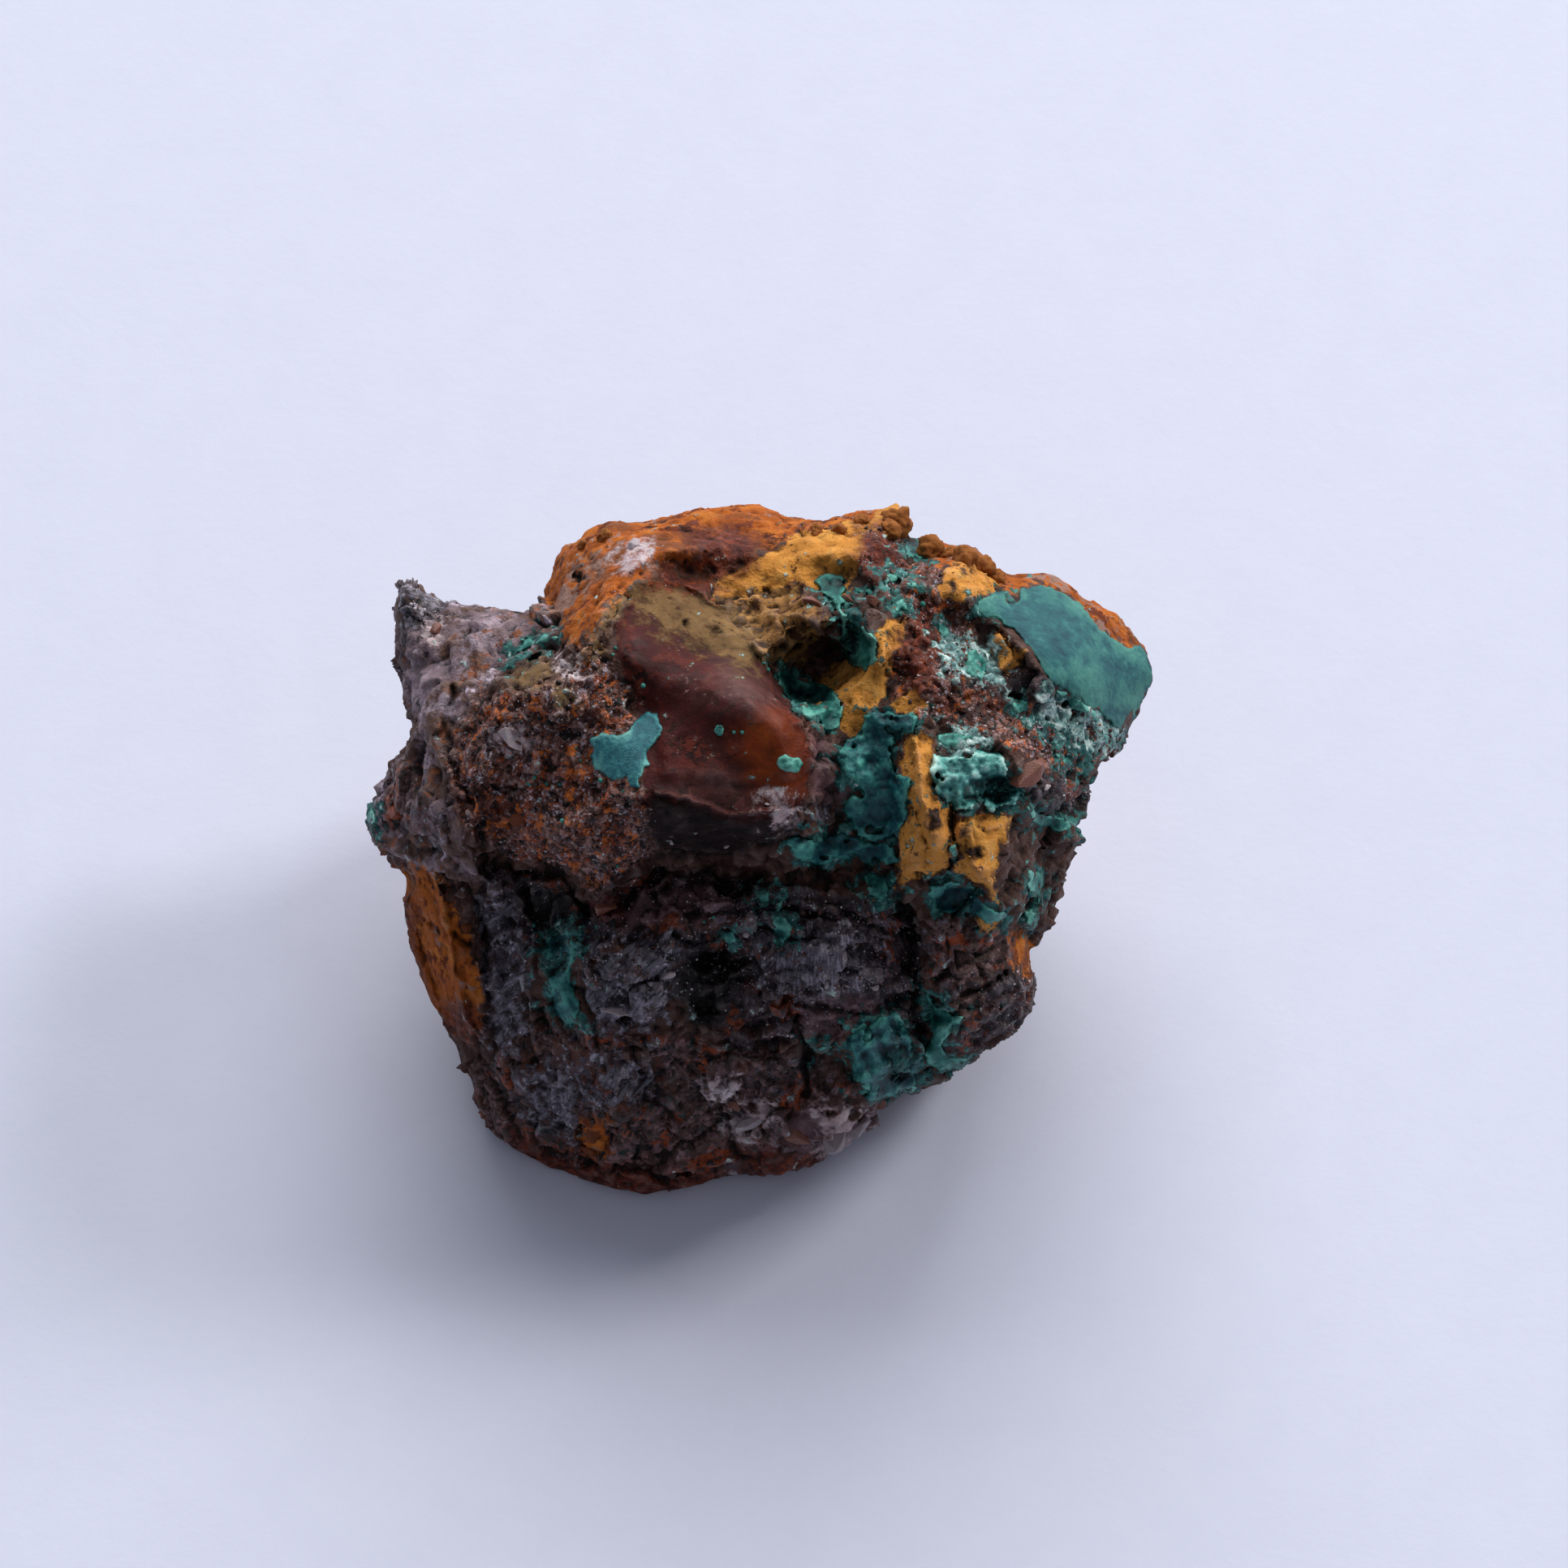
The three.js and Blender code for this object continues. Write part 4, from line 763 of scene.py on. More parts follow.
def thinned(mesh, triangles):
    """The same shape with fewer faces where it is flattest."""
    piece = new_piece("thinned", mesh)
    modifier = piece.modifiers.new("thin", "DECIMATE")
    modifier.ratio = triangles / sum(len(p.vertices) - 2 for p in mesh.polygons)
    thin = after_modifiers(piece)
    bpy.data.objects.remove(piece)
    return thin


def display_share(mesh):
    """1 on the display side, 0 on the hidden side, and a ragged step between, for each point."""
    shown = facing_display(mesh).astype(float)
    spread = smoothed(np.column_stack([shown] * 3), edges_of(mesh), DISPLAY_SMOOTHING)[:, 0]
    return ramp(spread + 0.35 * rough(points_of(mesh), 2.5, 15), 0.35, 0.55)


# Patches of the hidden side: zone, size in mm, level of noise above which they lie, and seed.

HIDDEN_PATCHES = [
    ("orange", 7.0, 0.28, 21), ("ochre", 6.0, 0.5, 22), ("granular", 8.0, 0.05, 23), ("dark", 7.0, 0.22, 24),
    ("lilac", 9.0, 0.3, 25), ("grey", 5.0, 0.42, 26), ("stain", 4.5, 0.45, 27), ("mauve", 5.0, 0.35, 28),
]


def warped(points):
    """Squares of the points, moved about a little so that no edge on them is straight."""
    squares = on_sheet(points)
    for axis in range(2):
        squares[:, axis] += WARP * (rough(points, 1.5, 30 + axis) + 0.5 * lumps(points, 0.45, 33 + axis))
    return squares


def near_outlines(outlines, x, y):
    """mm from each square to the nearest of some outlines, positive inside."""
    return np.max([inside_distance(outline, x, y) for outline in outlines], axis=0)


def zone_masks(points, shown):
    """For each zone a number for each point: 0.5 on its outline, 1 well inside it and 0 well outside."""
    x, y, _ = warped(points).T
    masks = {}
    for zone, outlines in ZONES.items():
        masks[zone] = np.clip(0.5 + near_outlines(outlines, x, y) / ZONE_BLEND, 0, 1) * shown
    lumpy_crusts = [c["edge"] for c in CRUSTS.values() if "bridging" not in c] + SMALL_CRUSTS
    stain = np.clip(0.5 + (near_outlines(lumpy_crusts, x, y) + STAIN_REACH) / ZONE_BLEND, 0, 1) * shown
    masks["stain"] = np.maximum(masks["stain"], stain * (1 - within(masks["jasper"])))
    masks["stain"] *= 1 - 0.5 * within(masks["ochre"])
    for zone, size, level, seed in HIDDEN_PATCHES:
        patch = np.clip(0.5 + (rough(points, size, seed) - level) * 1.5, 0, 1) * (1 - shown)
        masks[zone] = np.maximum(masks[zone], patch)
    return masks


def under_plates(points, shown):
    """1 where a smooth crust lies on the rock and 0 elsewhere, for each point."""
    x, y, _ = on_sheet(points).T
    plates = [c["edge"] for c in CRUSTS.values() if "bridging" in c]
    return ramp(near_outlines(plates, x, y), -0.3, 0.3) * shown


def within(mask):
    """A zone's share of the surface, from its mask."""
    return ramp(mask, 0.42, 0.6)


def plates_and_seams(points):
    """Height of the plates, hollows, ridges and grooves, in mm."""
    x, y, _ = warped(points).T
    height = np.zeros(len(x))
    for outline, rise, slope in PLATES:
        height += rise * ramp(inside_distance(outline, x, y), 0, slope)
    for line, rise, half_width in SEAMS:
        height += rise * ramp(-line_distance(line, x, y), -half_width, 0)
    for outline in ZONES["pit"]:
        height -= PIT_DEPTH * ramp(inside_distance(outline, x, y), -0.08, 0.1)
    return height


FIBRE_CENTRE = (1000, 900)  # squares


def fibre_directions(points):
    """mm round a centre and mm away from it, which lay out the fibres of the dark lower rock."""
    x, y, _ = on_sheet(points).T
    run, rise = x - FIBRE_CENTRE[0], y - FIBRE_CENTRE[1]
    return np.arctan2(run, rise) * 10, np.hypot(run, rise) * SQUARE


def broken_surface(points):
    """Height of plain broken rock, in mm."""
    first, second, facet, _ = cells(points, 1.8, 20)
    return (0.45 * facet + 0.2 * facet_heights(points, 0.7, 40) - 0.14 * crevices(first, second, 0.07)
            + 0.3 * rough(points, 2.2, 60, 5))


def granular_surface(points):
    """Height of small blocks with gaps between them, in mm."""
    first, second, facet, _ = cells(points, 0.75, 70)
    return (0.22 * facet + 0.1 * facet_heights(points, 0.34, 80) - 0.1 * crevices(first, second, 0.1)
            + 0.5 * rough(points, 2.0, 90, 5))


def fibrous_surface(points):
    """Height of fine ribs that run away from the fibres' centre, on broken rock, in mm."""
    around, away = fibre_directions(points)
    ribs = lumps(np.column_stack([around / 0.24, away / 1.3, 0 * away]), 1, 100)
    layers = lumps(np.column_stack([around / 4.5, away / 0.9, 0 * away]), 1, 101)
    chunks = facet_heights(points, 1.9, 105)
    return (0.09 * ribs + 0.1 * layers + 0.45 * chunks + 0.14 * facet_heights(points, 0.5, 106)
            + 0.4 * rough(points, 2.6, 107, 5))


def earthy_surface(points):
    """Height of soft, knobbly ochre with holes in it, in mm."""
    holes = pits(points, 0.7, 0.1, 120) + 0.6 * pits(points, 0.4, 0.12, 125)
    knobs = beads(points, 0.9, 114) - 0.6
    return (0.4 * rough(points, 2.6, 110, 6) + 0.16 * knobs + 0.06 * facet_heights(points, 0.5, 112)
            - 0.16 * holes)


def ridged_surface(points):
    """Height of the thin plates and ridges of the grey-violet rock, in mm."""
    long_way = points @ np.array([[0.45, 0, 0], [0, 1.0, 0], [0, 0, 1.0]])
    ridges = 1 - np.abs(rough(long_way, 3.0, 150, 2))
    first, second, facet, _ = cells(points, 0.8, 157)
    chips = 0.14 * facet - 0.08 * crevices(first, second, 0.08)
    return (0.7 * ridges - 0.5 + 0.4 * facet_heights(points, 2.2, 155)
            + 0.3 * rough(points, 1.6, 159, 4) + chips)


def waxy_surface(points):
    """Height of smooth, gently uneven jasper, in mm."""
    return (0.1 * rough(points, 3.0, 130, 2) + 0.03 * rough(points, 0.6, 140, 3)
            + 0.06 * facet_heights(points, 1.7, 145))


def surface_roughness(points, masks):
    """Height of every zone's own surface, in mm."""
    zone_surfaces = (
        ("lilac", ridged_surface), ("granular", granular_surface), ("dark", fibrous_surface),
        ("grey", fibrous_surface), ("jasper", waxy_surface), ("orange", earthy_surface),
        ("ochre", earthy_surface), ("tan", broken_surface))
    height = broken_surface(points)
    for zone, surface in zone_surfaces:
        height += (surface(points) - height) * within(masks[zone])
    return height - ROCK_LOWERING


def shape_rock():
    """The whole rock as one fine mesh, with each zone's own relief."""
    mesh = remeshed(merged_node("matrix"), ROCK_VOXEL)
    move_points(mesh, smoothed(points_of(mesh), edges_of(mesh), ROCK_SMOOTHING))
    halve_faces(mesh, facing_display(mesh))
    shown = display_share(mesh)
    points, normals = points_of(mesh), normals_of(mesh)
    masks = zone_masks(points, shown)
    standing = ramp(points[:, 2], 0, BASE_FADE)
    covered = under_plates(points, shown)
    earthy = within(np.maximum(masks["orange"], masks["ochre"]))
    calm = np.maximum(0.8 * within(masks["jasper"]), 0.3 * earthy) * shown
    smooth = smoothed(points, edges_of(mesh), CALM_SMOOTHING)
    moved = points + (smooth - points) * np.maximum(calm, covered)[:, None]
    moved += (plates_and_seams(points) * shown * standing * (1 - covered))[:, None] * SHEET_OUT
    moved += (surface_roughness(points, masks) * standing * (1 - covered))[:, None] * normals
    move_points(mesh, moved)
    return thinned(mesh, ROCK_TRIANGLES)


def mark_rock(mesh):
    """Keeps the zones, fibres and hollows as numbers on the rock's points, and returns the zones."""
    points = points_of(mesh)
    masks = zone_masks(points, display_share(mesh))
    for zone, mask in masks.items():
        set_values(mesh, zone, mask)
    around, away = fibre_directions(points)
    set_values(mesh, "fibre_around", around)
    set_values(mesh, "fibre_away", away)
    calm = smoothed(points, edges_of(mesh), HOLLOW_SMOOTHING)
    set_values(mesh, "hollow", np.sum((calm - points) * normals_of(mesh), axis=1) / HOLLOW_UNIT)
    return masks


# Crusts

def rock_heights(tree, x, y):
    """Height of the rock's display side over each square, in mm."""
    starts = off_sheet(x, y, np.full(len(x), CLEAR_HEIGHT))
    heights = np.full(len(x), np.nan)
    for i, start in enumerate(starts):
        hit = tree.ray_cast(Vector(start), Vector(-SHEET_OUT))
        if hit[0] is not None:
            heights[i] = CLEAR_HEIGHT - hit[3]
    return heights


def blurred(grid, passes):
    """Grid heights with their small bumps smoothed away."""
    for _ in range(passes):
        padded = np.pad(grid, 1, mode="edge")
        grid = (padded[1:-1, 1:-1] * 4 + padded[:-2, 1:-1] + padded[2:, 1:-1]
                + padded[1:-1, :-2] + padded[1:-1, 2:]) / 8
    return grid


def crust_sheet(tree, edge, stand, bead_size, relief, seed, bridging=CRUST_BRIDGING, hollow=()):
    """Points in mm, faces, and each point's tone, with painted highlight on bumps and painted shade in
    creases, of a closed crust on the rock.
    """
    outline = [(float(x), float(y)) for x, y in edge]
    low = np.min(outline, axis=0) - CRUST_MARGIN
    high = np.max(outline, axis=0) + CRUST_MARGIN
    step = CRUST_STEP / SQUARE
    columns, rows = (np.ceil((high - low) / step).astype(int) + 1)
    gx, gy = np.meshgrid(low[0] + step * np.arange(columns), low[1] + step * np.arange(rows))
    x, y = gx.ravel(), gy.ravel()
    flat = off_sheet(x, y, np.zeros(len(x)))
    inset = (inside_distance(outline, x, y) + 0.16 * lumps(flat, 0.55, seed)
             + 0.1 * lumps(flat, 0.22, seed + 1))
    if relief > CRUMBLY_RELIEF:
        inset -= 0.8 * ramp(rough(flat, 1.1, seed + 3), 0.25, 0.5)
    heights = rock_heights(tree, x, y)
    missing = np.isnan(heights)
    heights[missing] = np.nanmin(heights)
    grid = heights.reshape(gx.shape)
    openness = (grid - blurred(grid, OPEN_EVENING)).ravel()
    heights = blurred(grid, bridging).ravel()
    crest = (0.8 * beads(flat + 50, bead_size, seed + 2) + 0.8 * beads(flat, bead_size / 2.2, seed + 6) - 0.9
             + 0.6 * rough(flat, bead_size * 3, seed + 9) + 0.6 * rough(flat, bead_size, seed + 12, 4))
    rim = RIM_SHARE * np.exp(-((inset - RIM_INSET) / RIM_WIDTH) ** 2)
    # Painted light and shade in the tone: paler on bumps and where the rock stands high, darker in creases
    # and where it lies low.
    tone = 0.5 + 0.5 * crest + 0.5 * np.clip(openness, -0.8, 0.4) + rim
    top = heights + stand * (1 - np.exp(-np.clip(inset, 0, None) / EDGE_RISE)) * (1 + rim) - HIDDEN_EDGE
    top += relief * crest * ramp(inset, 0, 0.3)
    if hollow:
        depth = ramp(inside_distance(hollow, x, y) + 0.2 * lumps(flat, 0.5, seed + 4), 0, HOLLOW_SLOPE)
        top -= HOLLOW_DEPTH * depth
        # Painted shade darkens the hollow.
        tone -= HOLLOW_SHADE * depth
    used = ((inset > 0) & ~missing).reshape(gx.shape)
    cell = used[:-1, :-1] & used[1:, :-1] & used[:-1, 1:] & used[1:, 1:]
    index = np.arange(len(x)).reshape(gx.shape)
    corners = [index[:-1, :-1][cell], index[:-1, 1:][cell], index[1:, 1:][cell], index[1:, :-1][cell]]
    return closed_sheet(off_sheet(x, y, top), off_sheet(x, y, heights - CRUST_ROOT), np.column_stack(corners),
                        tone)


def closed_sheet(top, bottom, quads, tone):
    """Joins a sheet's top and bottom round its edge. Quads list the top's corners clockwise from outside."""
    sides = {}
    for quad in quads:
        for a, b in zip(quad, np.roll(quad, -1)):
            sides[(a, b)] = True
    rims = [(a, b) for a, b in sides if (b, a) not in sides]
    count = len(top)
    faces = [tuple(quad[::-1]) for quad in quads]
    faces += [tuple(quad + count) for quad in quads]
    faces += [(a, b, b + count, a + count) for a, b in rims]
    used = np.unique(np.concatenate([np.array(face) for face in faces]))
    place = {old: new for new, old in enumerate(used)}
    faces = [tuple(place[i] for i in face) for face in faces]
    return np.vstack([top, bottom])[used], faces, np.tile(tone, 2)[used]


def joined(parts):
    """Several sets of points, faces and values as one."""
    points, faces, values = [], [], []
    start = 0
    for part_points, part_faces, part_values in parts:
        points.append(part_points)
        values.append(part_values)
        faces += [tuple(i + start for i in face) for face in part_faces]
        start += len(part_points)
    return np.vstack(points), faces, np.concatenate(values)


def outward(mesh):
    """Turns every face outwards."""
    shape = bmesh.new()
    shape.from_mesh(mesh)
    bmesh.ops.recalc_face_normals(shape, faces=shape.faces)
    shape.to_mesh(mesh)
    shape.free()
    return mesh


def crust_piece(name, sheet, material):
    """A piece from a crust's points, faces and tone."""
    points, faces, tone = sheet
    mesh = outward(mesh_from(name, points, faces))
    set_values(mesh, "crest", tone)
    mesh.materials.append(material)
    return new_piece(name, mesh)


# Beads and shards set into the surface

def surface_place(tree, x, y):
    """Where a square meets the rock, and which way the rock faces there."""
    start = off_sheet(np.array([x]), np.array([y]), np.array([CLEAR_HEIGHT]))[0]
    place, normal, _, _ = tree.ray_cast(Vector(start), Vector(-SHEET_OUT))
    facing = normal + Vector(SHEET_OUT)
    return np.array(place), facing.normalized()


def bead_parts(tree, listed, subdivisions, unevenness):
    """A round, lumpy bead for each square and size listed."""
    for number, (x, y, size) in enumerate(listed):
        place, facing = surface_place(tree, x, y)
        ball = bmesh.new()
        bmesh.ops.create_icosphere(ball, subdivisions=subdivisions, radius=size / 2)
        points = np.array([v.co for v in ball.verts])
        points *= (1 + unevenness * rough(points + number * 3, size / 1.6, 200, 5))[:, None]
        faces = [tuple(v.index for v in f.verts) for f in ball.faces]
        ball.free()
        yield points + place + np.array(facing) * size * 0.12, faces, np.full(len(points), 0.8)


def shard_parts(tree, look):
    """An angular chip for each of SHARDS with a look, lying along the sheet at its turn."""
    rng = np.random.default_rng(7)
    for x, y, length, width, height, turn, its_look in SHARDS:
        chip = rng.normal(size=(14, 3))
        if its_look != look:
            continue
        chip /= np.linalg.norm(chip, axis=1, keepdims=True)
        chip *= np.array([length, width, height]) / 2
        place, facing = surface_place(tree, x, y)
        along = SHEET_RIGHT * math.cos(math.radians(turn)) + SHEET_UP * math.sin(math.radians(turn))
        out = np.array(facing)
        across = np.cross(out, along)
        across /= np.linalg.norm(across)
        along = np.cross(across, out)
        points = place + chip @ np.array([along, across, out]) + out * height * 0.1
        yield hull_of(points)


def hull_of(points):
    """The closed convex shape round some points."""
    shape = bmesh.new()
    for point in points:
        shape.verts.new(point)
    found = bmesh.ops.convex_hull(shape, input=shape.verts)
    bmesh.ops.delete(shape, geom=list({g for g in found["geom_interior"] + found["geom_unused"]
                                       if isinstance(g, bmesh.types.BMVert)}), context="VERTS")
    bmesh.ops.dissolve_limit(shape, angle_limit=math.radians(8), verts=shape.verts, edges=shape.edges)
    bmesh.ops.bevel(shape, geom=shape.edges, offset=0.02, segments=1, affect="EDGES")
    bmesh.ops.triangulate(shape, faces=shape.faces)
    shape.verts.index_update()
    corners = np.array([v.co for v in shape.verts])
    faces = [tuple(v.index for v in f.verts) for f in shape.faces]
    shape.free()
    return corners, faces, np.ones(len(corners))


# Node trees

def paint(code):
    """A colour socket's value from a colour written as six hex digits."""
    parts = [int(code[i:i + 2], 16) / 255 for i in (0, 2, 4)]
    return tuple(p / 12.92 if p <= 0.04045 else ((p + 0.055) / 1.055) ** 2.4 for p in parts) + (1.0,)


def add(tree, kind, inputs=(), **settings):
    """A node with its settings and inputs, which are given by name or number."""
    node = tree.nodes.new(kind)
    for name, value in settings.items():
        setattr(node, name, value)
    for name, value in dict(inputs).items():
        socket = node.inputs[name]
        if isinstance(value, bpy.types.NodeSocket):
            tree.links.new(value, socket)
        else:
            socket.default_value = value
    return node


def blend_colours(tree, share, below, above):
    return add(tree, "ShaderNodeMix", {0: share, 6: below, 7: above}, data_type="RGBA").outputs[2]


def blend_values(tree, share, below, above):
    return add(tree, "ShaderNodeMix", {0: share, 2: below, 3: above}, data_type="FLOAT").outputs[0]


def value(tree, operation, a, b):
    return add(tree, "ShaderNodeMath", {0: a, 1: b}, operation=operation).outputs[0]


def times(tree, a, b):
    return value(tree, "MULTIPLY", a, b)


def plus(tree, a, b):
    return value(tree, "ADD", a, b)


def between(tree, given, low, high, **settings):
    """How far a number has come from low to high, held between 0 and 1."""
    return add(tree, "ShaderNodeMapRange", {"Value": given, "From Min": low, "From Max": high},
               **settings).outputs[0]


def noise(tree, place, scale, detail, roughness=0.5):
    return add(tree, "ShaderNodeTexNoise", {
        "Vector": place, "Scale": scale, "Detail": detail, "Roughness": roughness}).outputs["Fac"]


def new_group(name, inputs, outputs):
    """A shader node group with named sockets, and its input and output nodes."""
    group = bpy.data.node_groups.new(name, "ShaderNodeTree")
    for socket, kind in inputs.items():
        group.interface.new_socket(socket, in_out="INPUT", socket_type="NodeSocket" + kind)
    for socket, kind in outputs.items():
        group.interface.new_socket(socket, in_out="OUTPUT", socket_type="NodeSocket" + kind)
    return group, group.nodes.new("NodeGroupInput").outputs, group.nodes.new("NodeGroupOutput").inputs


def make_grain_group():
    """Noise of three sizes, tilted facets in mm, tones from facet to facet, and glints, at a place in mm."""
    group, given, made = new_group(
        "rock grain", {"Place": "Vector", "Size": "Float"},
        dict.fromkeys(("Broad", "Fine", "Grit", "Facets", "Facet Tone", "Glints"), "Float"))
    place = given["Place"]
    scale = value(group, "DIVIDE", 1.0, given["Size"])
    for name, factor, detail in (("Broad", 0.25, 4.0), ("Fine", 0.7, 6.0), ("Grit", 3.5, 2.0)):
        group.links.new(noise(group, place, times(group, scale, factor), detail, 0.62), made[name])
    cell = add(group, "ShaderNodeTexVoronoi", {"Vector": place, "Scale": times(group, scale, 1.7)}).outputs
    away = add(group, "ShaderNodeVectorMath", {0: place, 1: cell["Position"]},
               operation="SUBTRACT").outputs[0]
    tilt = add(group, "ShaderNodeVectorMath", {0: cell["Color"], 1: (0.5, 0.5, 0.5)},
               operation="SUBTRACT").outputs[0]
    facets = add(group, "ShaderNodeVectorMath", {0: away, 1: tilt}, operation="DOT_PRODUCT")
    group.links.new(facets.outputs["Value"], made["Facets"])
    split = add(group, "ShaderNodeSeparateColor", {"Color": cell["Color"]})
    group.links.new(split.outputs[0], made["Facet Tone"])
    chip = add(group, "ShaderNodeTexVoronoi", {"Vector": place, "Scale": times(group, scale, 5.0)}).outputs
    shine = add(group, "ShaderNodeSeparateColor", {"Color": chip["Color"]})
    bright = between(group, shine.outputs[1], 0.88, 0.95)
    small = between(group, chip["Distance"], 0.5, 0.35)
    group.links.new(times(group, bright, small), made["Glints"])
    return group


def make_layer_group():
    """A finish laid over another where a ragged-edged mask says, in three tones."""
    group, given, made = new_group(
        "mineral layer",
        {"Color": "Color", "Roughness": "Float", "Height": "Float", "Mask": "Float", "Ragging": "Float",
         "Raggedness": "Float", "Softness": "Float", "Tone": "Float", "Dark": "Color", "Middle": "Color",
         "Light": "Color", "Layer Roughness": "Float", "Layer Height": "Float"},
        {"Color": "Color", "Roughness": "Float", "Height": "Float", "Mask": "Float"})
    ragged = times(group, value(group, "SUBTRACT", given["Ragging"], 0.5), given["Raggedness"])
    soft = given["Softness"]
    edge = between(group, plus(group, given["Mask"], ragged), value(group, "SUBTRACT", 0.5, soft),
                   plus(group, 0.5, soft), interpolation_type="SMOOTHSTEP")
    tones = blend_colours(group, between(group, given["Tone"], 0.3, 0.5), given["Dark"], given["Middle"])
    tones = blend_colours(group, between(group, given["Tone"], 0.5, 0.7), tones, given["Light"])
    group.links.new(blend_colours(group, edge, given["Color"], tones), made["Color"])
    for name in ("Roughness", "Height"):
        group.links.new(blend_values(group, edge, given[name], given["Layer " + name]), made[name])
    group.links.new(edge, made["Mask"])
    return group


def make_specks_group():
    """Scattered specks of uneven shape and size, in clusters. A higher level leaves fewer of them."""
    group, given, made = new_group(
        "mineral specks", {"Place": "Vector", "Size": "Float", "Level": "Float", "Cluster": "Float"},
        {"Mask": "Float"})
    scale = value(group, "DIVIDE", 1.0, given["Size"])
    grains = noise(group, given["Place"], scale, 5.0, 0.65)
    wide = noise(group, given["Place"], times(group, scale, 0.2), 1.0)
    spread = times(group, value(group, "SUBTRACT", wide, 0.5), given["Cluster"])
    mask = between(group, plus(group, grains, spread), given["Level"], plus(group, given["Level"], 0.06))
    group.links.new(mask, made["Mask"])
    return group


def make_shade_and_highlight_group():
    """Paints shade into hollows and paints highlights on edges."""
    group, given, made = new_group(
        "hollows and edges",
        {"Color": "Color", "Hollow": "Float", "Painted Shade": "Color", "Painted Shade Amount": "Float",
         "Edge Highlight Amount": "Float"},
        {"Color": "Color"})
    # Painted shade in the hollows, and a painted highlight on the edges.
    painted_shade = times(group, between(group, given["Hollow"], 0.1, 1.3), given["Painted Shade Amount"])
    edge = times(group, between(group, given["Hollow"], -0.3, -1.6), given["Edge Highlight Amount"])
    shaded_color = blend_colours(group, painted_shade, given["Color"], given["Painted Shade"])
    highlighted_color = add(group, "ShaderNodeMix", {0: 1.0, 6: shaded_color, 7: paint("8a7c78")}, data_type="RGBA",
                blend_type="SCREEN")
    group.links.new(blend_colours(group, edge, shaded_color, highlighted_color.outputs[2]), made["Color"])
    return group


GRAIN = make_grain_group()
LAYER = make_layer_group()
SPECKS = make_specks_group()
SHADE_AND_HIGHLIGHT = make_shade_and_highlight_group()


def use_group(tree, group, inputs):
    """The outputs of a group, with its inputs given by name."""
    return add(tree, "ShaderNodeGroup", inputs, node_tree=group).outputs


def new_material(name):
    """An empty material with its node tree, and a place in mm to read patterns at."""
    material = bpy.data.materials.new(name)
    material.use_nodes = True
    tree = material.node_tree
    tree.nodes.clear()
    texture = add(tree, "ShaderNodeTexCoord")
    place = add(tree, "ShaderNodeVectorMath", {0: texture.outputs["Object"], 1: (1000, 1000, 1000)},
                operation="MULTIPLY").outputs[0]
    return material, tree, place


def number_on(tree, name):
    """A number that is kept on the mesh's points."""
    return add(tree, "ShaderNodeAttribute", attribute_type="GEOMETRY", attribute_name=name).outputs["Fac"]


def finish_material(tree, color, roughness, height, **constants):
    """The Principled shader at the end of a material. Height is in mm."""
    relief = add(tree, "ShaderNodeBump", {"Strength": 1.0, "Distance": MM, "Height": height})
    shader = add(tree, "ShaderNodeBsdfPrincipled", {
        "Base Color": color, "Roughness": roughness, "Normal": relief.outputs[0]})
    for name, given in constants.items():
        shader.inputs[name.replace("_", " ")].default_value = given
    add(tree, "ShaderNodeOutputMaterial", {"Surface": shader.outputs[0]})


# Each zone's finish: dark, middle and light tone, roughness, raggedness and softness of its edge, and its
# pattern. The zones lie over each other in this order.

ZONE_FINISHES = {
    "lilac": ("382a2f", "7a666c", "bcacba", 0.6, 1.4, 0.12, "plates"),
    "granular": ("120807", "5a3025", "b08a80", 0.4, 1.4, 0.1, "grains"),
    "brown": ("201413", "503630", "907074", 0.45, 1.4, 0.12, "grains"),
    "dark": ("0e0b0c", "32272b", "6e6068", 0.42, 1.4, 0.1, "fibres"),
    "grey": ("242127", "5c5660", "b8b2c0", 0.38, 3.2, 0.2, "fibres"),
    "mauve": ("2b1b1e", "54393c", "836266", 0.5, 1.2, 0.2, "plates"),
    # Painted shade for the sunk recesses.
    "painted recess shade": ("030202", "090707", "171112", 0.6, 1.2, 0.2, "grains"),
    "jasper": ("23090a", "421311", "632417", 0.6, 0.8, 0.06, "clouds"),
    "haze": ("3f2422", "563734", "70504c", 0.6, 0.8, 0.5, "clouds"),
    "amber": ("4c1a09", "6c2a0b", "883e12", 0.55, 0.6, 0.4, "clouds"),
    # The jasper's lower facet, darkened as painted shade.
    "jasper in painted shade": ("060202", "140808", "2c1817", 0.6, 0.8, 0.15, "grains"),
    "olive": ("523d27", "73593a", "8e7048", 0.9, 2.0, 0.3, "earth"),
    "orange": ("5c280b", "a35419", "cc8030", 0.95, 1.4, 0.08, "earth"),
    "ochre": ("94602a", "c48438", "dca656", 0.95, 0.6, 0.05, "earth"),
    "tan": ("5e3e22", "93693a", "b98f56", 0.9, 1.6, 0.15, "earth"),
    "red wall": ("35120c", "5a2112", "823a1c", 0.6, 1.4, 0.3, "grains"),
    "pit": ("0e0706", "22120c", "3c2416", 0.9, 0.8, 0.1, "grains"),
    "pale": ("7c686c", "b29c9f", "eadfe2", 0.35, 2.2, 0.2, "plates"),
    "stain": ("0b2e2f", "1b5352", "4b8d85", 0.6, 2.6, 0.08, "grains"),
    "frost": ("24484a", "689492", "cde2de", 0.5, 2.8, 0.1, "grains"),
}

# Specks in the zones: size in mm, level of the noise above which they show, clustering, colour and zone.

